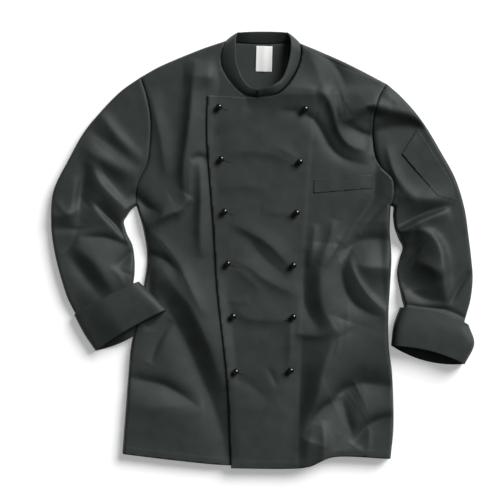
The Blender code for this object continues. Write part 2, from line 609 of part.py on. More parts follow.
def resting_height(face, x, y):
    """Lowest height at which a button's shank and ball both clear the cloth below."""
    rings = [(SHANK_RADIUS, 0)]
    for radius in BELLY_RADII:
        rings.append((radius, BALL_LEVEL - math.sqrt(BALL_RADIUS ** 2 - radius ** 2)))
    needed = [face_height(face, x, y)]
    for radius, above_foot in rings:
        for step in range(BUTTON_SIDES):
            angle = 2 * math.pi * step / BUTTON_SIDES
            spot = face_height(face, x + radius * math.cos(angle), y + radius * math.sin(angle))
            needed.append(spot - above_foot)
    return max(needed) + BUTTON_CLEAR


def buttons(face):
    for number, row in enumerate(BUTTONS, start=1):
        for side, x, y in (("right", row.left_x, row.left_y), ("left", row.right_x, row.right_y)):
            height = resting_height(face, x, y)
            bm = button_shape()
            bmesh.ops.translate(bm, verts=bm.verts, vec=(x, y, height))
            ball = add_object(f"button_{side}_{number}", bm, BLACK_PLASTIC)
            ball.data.shade_smooth()
            ball.data.set_sharp_from_angle(angle=SHARP_ANGLE)


def centre_on_table():
    """Shift every piece so that the origin is under the middle of the whole jacket."""
    bpy.context.view_layer.update()
    depsgraph = bpy.context.evaluated_depsgraph_get()
    pieces = list(bpy.context.scene.objects)
    corners = np.array([corner for obj in pieces for corner in obj.evaluated_get(depsgraph).bound_box])
    middle = (corners.min(axis=0) + corners.max(axis=0)) / 2
    for obj in pieces:
        obj.data.transform(Matrix.Translation((-middle[0], -middle[1], 0)))


for old in list(bpy.data.objects):
    bpy.data.objects.remove(old)

outline, lapped_face = main_cloth()
cuffs()
collar(outline)
label()
buttons(lapped_face)
centre_on_table()
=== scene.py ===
import math
from collections import namedtuple

import bmesh
import bpy
import numpy as np
from mathutils import Matrix, Vector, noise
from mathutils.geometry import delaunay_2d_cdt


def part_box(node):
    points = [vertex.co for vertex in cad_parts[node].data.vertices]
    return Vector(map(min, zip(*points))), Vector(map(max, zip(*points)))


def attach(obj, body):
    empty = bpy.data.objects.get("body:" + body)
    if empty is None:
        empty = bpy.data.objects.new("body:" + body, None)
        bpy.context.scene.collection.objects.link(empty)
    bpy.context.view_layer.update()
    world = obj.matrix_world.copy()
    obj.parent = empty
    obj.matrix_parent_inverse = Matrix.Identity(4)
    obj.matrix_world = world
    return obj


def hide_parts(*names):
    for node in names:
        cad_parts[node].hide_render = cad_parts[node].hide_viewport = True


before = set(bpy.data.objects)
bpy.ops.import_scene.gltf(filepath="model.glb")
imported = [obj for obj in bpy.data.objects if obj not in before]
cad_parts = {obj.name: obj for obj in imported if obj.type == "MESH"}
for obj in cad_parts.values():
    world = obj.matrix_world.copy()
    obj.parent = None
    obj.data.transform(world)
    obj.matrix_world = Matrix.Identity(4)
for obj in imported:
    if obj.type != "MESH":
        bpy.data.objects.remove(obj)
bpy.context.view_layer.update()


# ---- Back ----------------------------------------------------------------------------------
# One panel of dark twill from the hem to the shoulders, lying on the table with its inside up.
# The side and shoulder seams join it to the fronts, so all of them share one outline. Sides in
# these values are as seen from above, and the pieces are named for the wearer's sides.
Section = namedtuple("Section", "y left right")
SIDES = [
    Section(-0.325, -0.256, 0.2435),
    Section(-0.235, -0.249, 0.241),
    Section(-0.180, -0.244, 0.2345),
    Section(-0.120, -0.231, 0.2340),
    Section(-0.060, -0.219, 0.2375),
    Section(-0.015, -0.214, 0.2395),
    Section(0.035, -0.221, 0.2365),
    Section(0.080, -0.234, 0.2380),
]
ARMHOLES = [
    Section(0.105, -0.234, 0.243),
    Section(0.130, -0.227, 0.239),
    Section(0.155, -0.214, 0.216),
    Section(0.185, -0.209, 0.206),
    Section(0.235, -0.207, 0.204),
    Section(0.280, -0.214, 0.215),
]
LEFT_TIP = (-0.226, 0.319)
RIGHT_TIP = (0.231, 0.306)
LEFT_NECK = (-0.069, 0.386)
RIGHT_NECK = (0.072, 0.381)
LEFT_SHOULDER = [LEFT_TIP, (-0.186, 0.341), (-0.116, 0.370), LEFT_NECK]
RIGHT_SHOULDER = [RIGHT_NECK, (0.113, 0.364), (0.164, 0.341), RIGHT_TIP]
BACK_NECK = [LEFT_NECK, (-0.055, 0.3865), (0.000, 0.3850), (0.057, 0.386), RIGHT_NECK]
LEFT_HEM = (-0.260, -0.379)
RIGHT_HEM = (0.238, -0.388)
BACK_HEM = [LEFT_HEM, (-0.060, -0.400), (0.086, -0.402), (0.135, -0.388), RIGHT_HEM]
BACK_HEM_RAISE = 0.006
CURVE_STEPS = 16
FINE = 0.0028               # side of the facets where the cloth shows
COARSE = 0.006              # and where it is hidden
SEAM_LEVEL = 0.005          # the seams' height above the table
CLOTH = 0.0011              # thickness of one layer with its seams pressed open
UNDER_ROUND = 0.010         # width of the rounding under the side seams


def smooth_line(points, count=None, stops=None):
    """Points along a smooth curve through the given ones, at even steps or at given parts of it."""
    line = np.array(points, float)
    if len(line) > 2:
        padded = np.vstack([2 * line[0] - line[1], line, 2 * line[-1] - line[-2]])
        t = np.linspace(0, 1, CURVE_STEPS, endpoint=False)[:, None]
        runs = []
        for a, b, c, d in zip(padded, padded[1:], padded[2:], padded[3:]):
            runs.append(0.5 * (2 * b + (c - a) * t + (2 * a - 5 * b + 4 * c - d) * t ** 2
                               + (3 * b - a - 3 * c + d) * t ** 3))
        line = np.vstack(runs + [line[-1:]])
    run = np.concatenate([[0], np.cumsum(np.linalg.norm(np.diff(line, axis=0), axis=1))])
    wanted = np.linspace(0, 1, count + 1) if stops is None else stops
    return np.column_stack([np.interp(wanted * run[-1], run, column) for column in line.T])


def inside(points, outline):
    """Whether each point lies inside a closed outline."""
    x, y = points.T
    within = np.zeros(len(points), bool)
    for (x0, y0), (x1, y1) in zip(outline, np.roll(outline, -1, axis=0)):
        crossed = (y0 > y) != (y1 > y)
        within[crossed] ^= x[crossed] < x0 + (y[crossed] - y0) * (x1 - x0) / (y1 - y0)
    return within


def distance_to(points, lines):
    """Distance in plan from each point to the nearest of the lines."""
    flat = points.reshape(-1, 2)
    nearest = np.full(len(flat), np.inf)
    for line in lines:
        for start, end in zip(line[:-1], line[1:]):
            step = end - start
            t = np.clip((flat - start) @ step / (step @ step), 0, 1)[:, None]
            nearest = np.minimum(nearest, np.linalg.norm(flat - start - t * step, axis=1))
    return nearest.reshape(points.shape[:-1])


def rounded(distance, reach):
    """How far the cloth has risen from an edge, from 0 to 1: steep at the edge and soon level."""
    return (1 - (1 - np.clip(distance / reach, 0, 1)) ** 3) ** (1 / 3)


def smooth(t):
    t = np.clip(t, 0, 1)
    return t * t * (3 - 2 * t)


def grid_mesh(name, points, grain):
    """A mesh of square facets through rows of points, with the grain's place stored at each."""
    rows, columns = points.shape[:2]
    bm = bmesh.new()
    bmesh.ops.create_grid(bm, x_segments=columns - 1, y_segments=rows - 1, size=0.5)
    where = [(round((v.co.y + 0.5) * (rows - 1)), round((v.co.x + 0.5) * (columns - 1))) for v in bm.verts]
    row, column = np.array(where).T
    mesh = bpy.data.meshes.new(name)
    bm.to_mesh(mesh)
    bm.free()
    mesh.vertices.foreach_set("co", points[row, column].ravel())
    lengthwise = mesh.attributes.new("grain", "FLOAT_VECTOR", "POINT")
    places = np.concatenate([grain, np.zeros(grain.shape[:2] + (1,))], axis=2)
    lengthwise.data.foreach_set("vector", places[row, column].ravel())
    return mesh


def cut_mesh(name, outline, cell, level):
    """A mesh of even facets, cut to a closed outline and raised to the level of each point."""
    low, high = outline.min(axis=0), outline.max(axis=0)
    x, y = np.meshgrid(np.arange(low[0], high[0], cell), np.arange(low[1], high[1], cell))
    points = np.column_stack([x.ravel(), y.ravel()])
    points = points[inside(points, outline)]
    points = points[distance_to(points, [np.vstack([outline, outline[:1]])]) > 0.6 * cell]
    plan = [Vector(point) for point in np.vstack([outline, points])]
    plan, _, faces, *_ = delaunay_2d_cdt(plan, [], [list(range(len(outline)))], 1, 1e-7, False)
    plan, faces = np.array(plan), np.array(faces)
    faces = faces[inside(plan[faces].mean(axis=1), outline)]
    mesh = bpy.data.meshes.new(name)
    mesh.from_pydata(np.column_stack([plan, level(plan)]), [], faces)
    grain = mesh.attributes.new("grain", "FLOAT_VECTOR", "POINT")
    grain.data.foreach_set("vector", np.column_stack([plan, np.zeros(len(plan))]).ravel())
    return mesh


# Every plan here is laid out round the label's middle, and moved to where its solid is.
LABEL_CENTRE = (0.003, 0.353)
PLACE = sum(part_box("neck_label"), Vector()) / 2 - Vector((*LABEL_CENTRE, 0.0))
PLACE.z = 0


def piece(mesh, material, slot, *nodes):
    """Put a finished mesh in the scene as the piece that stands for the given solids."""
    mesh.transform(Matrix.Translation(PLACE))
    mesh.materials.append(material)
    mesh.shade_smooth()
    obj = bpy.data.objects.new(mesh.name, mesh)
    bpy.context.scene.collection.objects.link(obj)
    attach(obj, "root")
    if nodes:
        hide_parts(*nodes)
    return obj


def give_wall(obj, thickness, offset=-1):
    """The cloth's thickness: inwards from its surface, outwards at 1 and half each way at 0."""
    wall = obj.modifiers.new("wall", "SOLIDIFY")
    wall.thickness = thickness
    wall.offset = offset
    wall.use_even_offset = False


def set_inputs(owner, node, inputs):
    """Give each input of a node its value, or the output that feeds it."""
    for key, value in inputs.items():
        if isinstance(value, bpy.types.NodeSocket):
            owner.node_tree.links.new(value, node.inputs[key])
        else:
            node.inputs[key].default_value = value


def add_node(owner, kind, inputs, **settings):
    """A node in a material or a world, with its settings and inputs."""
    node = owner.node_tree.nodes.new("ShaderNode" + kind)
    for key, value in settings.items():
        setattr(node, key, value)
    set_inputs(owner, node, inputs)
    return node


def new_material(name, inputs):
    mat = bpy.data.materials.new(name)
    mat.use_nodes = True
    shader = mat.node_tree.nodes["Principled BSDF"]
    set_inputs(mat, shader, inputs)
    return mat, shader


def twill_material():
    """Smooth dark twill: fine diagonal ribs, slightly uneven dye and a satin surface."""
    mat, shader = new_material("charcoal_twill", {"Roughness": 0.58, "Specular IOR Level": 0.3})
    grain = add_node(mat, "Attribute", {}, attribute_name="grain").outputs["Vector"]
    ribs = add_node(mat, "TexWave", {"Scale": 480, "Distortion": 0.8, "Detail": 2, "Vector": grain},
                    bands_direction="DIAGONAL").outputs["Fac"]
    threads = add_node(mat, "TexNoise", {"Scale": 700, "Detail": 3, "Vector": grain}).outputs["Fac"]
    dye = add_node(mat, "TexNoise", {"Scale": 42, "Detail": 5, "Vector": grain}).outputs["Fac"]
    tones = {"A": (0.0200, 0.0262, 0.0242, 1), "B": (0.0330, 0.0405, 0.0385, 1), "Factor": ribs}
    ribbed = add_node(mat, "Mix", tones, data_type="RGBA").outputs["Result"]
    spread = {"From Min": 0.3, "From Max": 0.7, "To Min": 0.88, "To Max": 1.12, "Value": dye}
    uneven = add_node(mat, "MapRange", spread).outputs["Result"]
    dyed = add_node(mat, "Mix", {"Factor": 1.0, "A": ribbed, "B": uneven},
                    data_type="RGBA", blend_type="MULTIPLY").outputs["Result"]
    weave = add_node(mat, "Math", {0: threads, 1: 0.5, 2: ribs}, operation="MULTIPLY_ADD").outputs["Value"]
    bump = add_node(mat, "Bump", {"Strength": 0.35, "Distance": 0.00012, "Height": weave})
    set_inputs(mat, shader, {"Base Color": dyed, "Normal": bump.outputs["Normal"]})
    return mat


twill = twill_material()


def steps(length, size):
    return max(2, round(length / size))


LEFT_SIDE = [LEFT_HEM] + [(row.left, row.y) for row in SIDES]
RIGHT_SIDE = [RIGHT_HEM] + [(row.right, row.y) for row in SIDES]
LEFT_ARMHOLE = [LEFT_SIDE[-1]] + [(row.left, row.y) for row in ARMHOLES] + [LEFT_TIP]
RIGHT_ARMHOLE = [RIGHT_SIDE[-1]] + [(row.right, row.y) for row in ARMHOLES] + [RIGHT_TIP]

# The sleeves' edges, which the body's swell has to know as well: sections from the armhole down,
# each with its crown and how far its two edges are lifted where the sleeve rises over the body.
SleeveRow = namedtuple("SleeveRow", "outer_x outer_y inner_x inner_y crown lift_outer lift_inner")
LEFT_SLEEVE = [
    SleeveRow(-0.264, 0.292, -0.241, 0.075, 0.020, 0.000, 0.000),
    SleeveRow(-0.301, 0.254, -0.247, 0.068, 0.020, 0.000, 0.000),
    SleeveRow(-0.332, 0.216, -0.252, 0.060, 0.021, 0.000, 0.000),
    SleeveRow(-0.360, 0.166, -0.257, 0.052, 0.022, 0.000, 0.000),
    SleeveRow(-0.388, 0.108, -0.256, 0.043, 0.022, 0.000, 0.000),
    SleeveRow(-0.3925, 0.050, -0.251, 0.027, 0.021, 0.000, 0.000),
    SleeveRow(-0.388, 0.005, -0.241, 0.006, 0.020, 0.000, 0.000),
    SleeveRow(-0.378, -0.040, -0.237, -0.022, 0.020, 0.000, 0.002),
    SleeveRow(-0.363, -0.088, -0.237, -0.046, 0.018, 0.001, 0.006),
    SleeveRow(-0.3475, -0.119, -0.2385, -0.066, 0.0120, 0.0040, 0.0122),
    SleeveRow(-0.338, -0.140, -0.2330, -0.086, 0.0120, 0.0040, 0.0164),
]
RIGHT_SLEEVE = [
    SleeveRow(0.262, 0.278, 0.2430, 0.077, 0.020, 0.000, 0.000),
    SleeveRow(0.300, 0.232, 0.2425, 0.068, 0.020, 0.000, 0.000),
    SleeveRow(0.332, 0.179, 0.2425, 0.058, 0.021, 0.000, 0.000),
    SleeveRow(0.358, 0.131, 0.2455, 0.038, 0.022, 0.000, 0.000),
    SleeveRow(0.375, 0.076, 0.253, 0.018, 0.022, 0.000, 0.000),
    SleeveRow(0.383, 0.022, 0.260, 0.002, 0.021, 0.000, 0.000),
    SleeveRow(0.388, -0.020, 0.254, -0.020, 0.021, 0.000, 0.000),
    SleeveRow(0.3905, -0.055, 0.250, -0.048, 0.021, 0.000, 0.000),
    SleeveRow(0.386, -0.095, 0.258, -0.090, 0.021, 0.001, 0.001),
    SleeveRow(0.375, -0.134, 0.262, -0.110, 0.021, 0.003, 0.003),
    SleeveRow(0.372, -0.158, 0.256, -0.132, 0.021, 0.003, 0.003),
]
SLEEVE_RINGS = 150
AROUND = 100                # facets round a sleeve's ring
CROWN = 0.0205              # the fronts' upper face, once clear of an edge
EDGE_SLACK = 0.0006         # the outline's own unevenness, which the cloth's edge doesn't follow
CROWN_ROUND = 0.007         # width of the rounding along an edge


def sleeve_rows(rows, tip, underarm):
    """The two edges of a sleeve from the armhole to its end, with its crown and lifts."""
    table = np.array([(*tip, *underarm, CROWN, 0, 0)] + [tuple(row) for row in rows])
    where = np.linspace(0, 1, len(table))[:, None]
    fine = smooth_line(np.hstack([where, table]), 4 * SLEEVE_RINGS)
    wanted = np.linspace(0, 1, SLEEVE_RINGS + 1)
    return np.column_stack([np.interp(wanted, fine[:, 0], column) for column in fine[:, 1:].T])


left_sleeve = sleeve_rows(LEFT_SLEEVE, LEFT_TIP, LEFT_ARMHOLE[0])
right_sleeve = sleeve_rows(RIGHT_SLEEVE, RIGHT_TIP, RIGHT_ARMHOLE[0])
OUTLINE = [smooth_line(LEFT_SIDE, 60), smooth_line(RIGHT_SIDE, 60),
           smooth_line(LEFT_SHOULDER, 16), smooth_line(RIGHT_SHOULDER, 16),
           left_sleeve[::3, 0:2], left_sleeve[::3, 2:4], right_sleeve[::3, 0:2], right_sleeve[::3, 2:4]]


def from_edge(points):
    """Distance from the outline, counted from just inside it so that the whole edge lies level."""
    return np.maximum(distance_to(points, OUTLINE) - EDGE_SLACK, 0)


def under_level(points):
    """Height of the cloth that lies on the table, rounded up towards the seams."""
    return SEAM_LEVEL * (1 - rounded(from_edge(points), UNDER_ROUND))


def closed(cell, *lines):
    """One closed outline from lines that meet end to end, with points about a cell apart."""
    runs = []
    for line in lines:
        length = np.linalg.norm(np.diff(np.array(line), axis=0), axis=1).sum()
        runs.append(smooth_line(line, steps(length, cell))[:-1])
    return np.vstack(runs)


back_outline = closed(COARSE, [(x, y + BACK_HEM_RAISE) for x, y in BACK_HEM], RIGHT_SIDE, RIGHT_ARMHOLE,
                      RIGHT_SHOULDER[::-1], BACK_NECK[::-1], LEFT_SHOULDER[::-1], LEFT_ARMHOLE[::-1],
                      LEFT_SIDE[::-1])
back = piece(cut_mesh("back_panel", back_outline, COARSE, under_level), twill, "charcoal_twill", "back")
give_wall(back, CLOTH, offset=1)


# ---- How the fronts lie --------------------------------------------------------------------
# The upper layer swells up from the outline, and the folds are pressed into it: each has
# a rise, negative for a trough, the widths of the flanks left and right of its spine, and the spine.
Fold = namedtuple("Fold", "rise left right spine")
RIGHT_HALF = [
    # chest, beside the lap
    Fold(0.0080, 0.0240, 0.0200, [(-0.146, 0.321), (-0.093, 0.316), (-0.049, 0.307), (0.003, 0.284)]),
    Fold(0.0120, 0.0280, 0.0100, [(-0.123, 0.351), (-0.129, 0.305), (-0.134, 0.240),
                                 (-0.140, 0.193), (-0.146, 0.147), (-0.144, 0.109), (-0.138, 0.080)]),
    Fold(-0.0026, 0.0040, 0.0120, [(-0.133, 0.163), (-0.121, 0.171), (-0.110, 0.171), (-0.099, 0.167)]),
    Fold(0.0075, 0.0140, 0.0090, [(-0.116, 0.165), (-0.114, 0.119), (-0.114, 0.081),
                                 (-0.116, 0.035), (-0.114, -0.017)]),
    Fold(0.0012, 0.0050, 0.0040, [(-0.134, 0.169), (-0.136, 0.128), (-0.134, 0.080)]),
    Fold(0.0100, 0.0220, 0.0090, [(-0.227, 0.035), (-0.194, 0.055), (-0.172, 0.065),
                                 (-0.153, 0.072), (-0.134, 0.098)]),
    Fold(-0.0100, 0.0120, 0.0220, [(-0.244, 0.108), (-0.226, 0.089), (-0.209, 0.074), (-0.185, 0.065)]),
    Fold(0.0040, 0.0160, 0.0090, [(-0.209, 0.299), (-0.198, 0.249), (-0.188, 0.202),
                                 (-0.181, 0.156), (-0.175, 0.132)]),
    # sleeve, from the shoulder to the elbow
    Fold(0.0060, 0.0120, 0.0140, [(-0.307, 0.258), (-0.287, 0.232), (-0.265, 0.204),
                                 (-0.244, 0.182), (-0.218, 0.158)]),
    Fold(-0.0008, 0.0025, 0.0030, [(-0.268, 0.227), (-0.239, 0.199), (-0.211, 0.171)]),
    Fold(-0.0035, 0.0100, 0.0120, [(-0.324, 0.223), (-0.294, 0.201), (-0.268, 0.182),
                                 (-0.242, 0.163), (-0.222, 0.150)]),
    Fold(-0.0012, 0.0030, 0.0030, [(-0.313, 0.197), (-0.287, 0.180), (-0.261, 0.163)]),
    Fold(0.0090, 0.0240, 0.0160, [(-0.335, 0.193), (-0.309, 0.173), (-0.287, 0.160),
                                 (-0.261, 0.147), (-0.231, 0.134)]),
    Fold(0.0080, 0.0120, 0.0180, [(-0.315, 0.160), (-0.306, 0.132), (-0.287, 0.109),
                                 (-0.265, 0.087), (-0.242, 0.063)]),
    Fold(-0.0055, 0.0200, 0.0110, [(-0.304, 0.161), (-0.289, 0.135), (-0.270, 0.109), (-0.246, 0.081)]),
    Fold(-0.0090, 0.0160, 0.0040, [(-0.311, 0.087), (-0.296, 0.068), (-0.272, 0.044), (-0.252, 0.016)]),
    Fold(-0.0100, 0.0180, 0.0090, [(-0.326, 0.158), (-0.335, 0.113), (-0.339, 0.080), (-0.341, 0.042)]),
    Fold(0.0030, 0.0040, 0.0090, [(-0.341, 0.132), (-0.346, 0.100), (-0.352, 0.072)]),
    Fold(0.0025, 0.0080, 0.0060, [(-0.384, 0.091), (-0.369, 0.072), (-0.350, 0.059)]),
    Fold(0.0070, 0.0120, 0.0140, [(-0.399, 0.061), (-0.372, 0.061), (-0.350, 0.068), (-0.328, 0.085)]),
    Fold(-0.0040, 0.0120, 0.0080, [(-0.399, 0.037), (-0.358, 0.037), (-0.320, 0.039), (-0.291, 0.048)]),
    # sleeve, below the elbow
    Fold(-0.0060, 0.0080, 0.0120, [(-0.339, 0.022), (-0.311, 0.022), (-0.287, 0.020),
                                 (-0.261, 0.011), (-0.246, 0.003)]),
    Fold(-0.0025, 0.0040, 0.0040, [(-0.337, 0.042), (-0.350, 0.016), (-0.371, -0.008)]),
    Fold(0.0095, 0.0300, 0.0160, [(-0.350, 0.009), (-0.324, -0.013), (-0.307, -0.028),
                                 (-0.291, -0.054), (-0.268, -0.086)]),
    Fold(-0.0065, 0.0180, 0.0140, [(-0.361, -0.004), (-0.339, -0.036), (-0.317, -0.064), (-0.291, -0.097)]),
    Fold(-0.0065, 0.0120, 0.0090, [(-0.231, 0.005), (-0.253, -0.017), (-0.274, -0.038)]),
    Fold(0.0012, 0.0040, 0.0050, [(-0.276, -0.032), (-0.263, -0.051), (-0.253, -0.073)]),
    Fold(-0.0012, 0.0040, 0.0050, [(-0.268, -0.036), (-0.250, -0.045), (-0.235, -0.051)]),
    # body, below the arm
    Fold(-0.0090, 0.0120, 0.0200, [(-0.222, 0.063), (-0.214, -0.002), (-0.211, -0.049),
                                 (-0.209, -0.105), (-0.214, -0.151)]),
    Fold(0.0035, 0.0140, 0.0080, [(-0.218, 0.042), (-0.190, 0.016), (-0.170, -0.010),
                                 (-0.149, -0.043), (-0.131, -0.077), (-0.106, -0.127)]),
    Fold(-0.0009, 0.0020, 0.0025, [(-0.199, 0.026), (-0.172, -0.008), (-0.153, -0.039), (-0.136, -0.075)]),
    Fold(-0.0055, 0.0090, 0.0160, [(-0.226, -0.004), (-0.198, -0.013), (-0.175, -0.025), (-0.149, -0.051)]),
    Fold(0.0125, 0.0500, 0.0190, [(-0.190, -0.028), (-0.160, -0.073), (-0.134, -0.101),
                                 (-0.114, -0.142), (-0.095, -0.183), (-0.084, -0.218), (-0.067, -0.263)]),
    Fold(-0.0090, 0.0200, 0.0260, [(-0.198, -0.062), (-0.172, -0.114), (-0.153, -0.151),
                                 (-0.134, -0.188), (-0.114, -0.237), (-0.093, -0.283),
                                 (-0.077, -0.337), (-0.062, -0.404)]),
    Fold(-0.0050, 0.0060, 0.0140, [(-0.168, -0.132), (-0.190, -0.166), (-0.199, -0.188), (-0.207, -0.211)]),
    Fold(-0.0080, 0.0110, 0.0200, [(-0.255, -0.235), (-0.218, -0.244), (-0.186, -0.251),
                                 (-0.157, -0.266), (-0.131, -0.283), (-0.116, -0.296)]),
    Fold(0.0050, 0.0180, 0.0340, [(-0.250, -0.289), (-0.181, -0.292), (-0.108, -0.285)]),
]
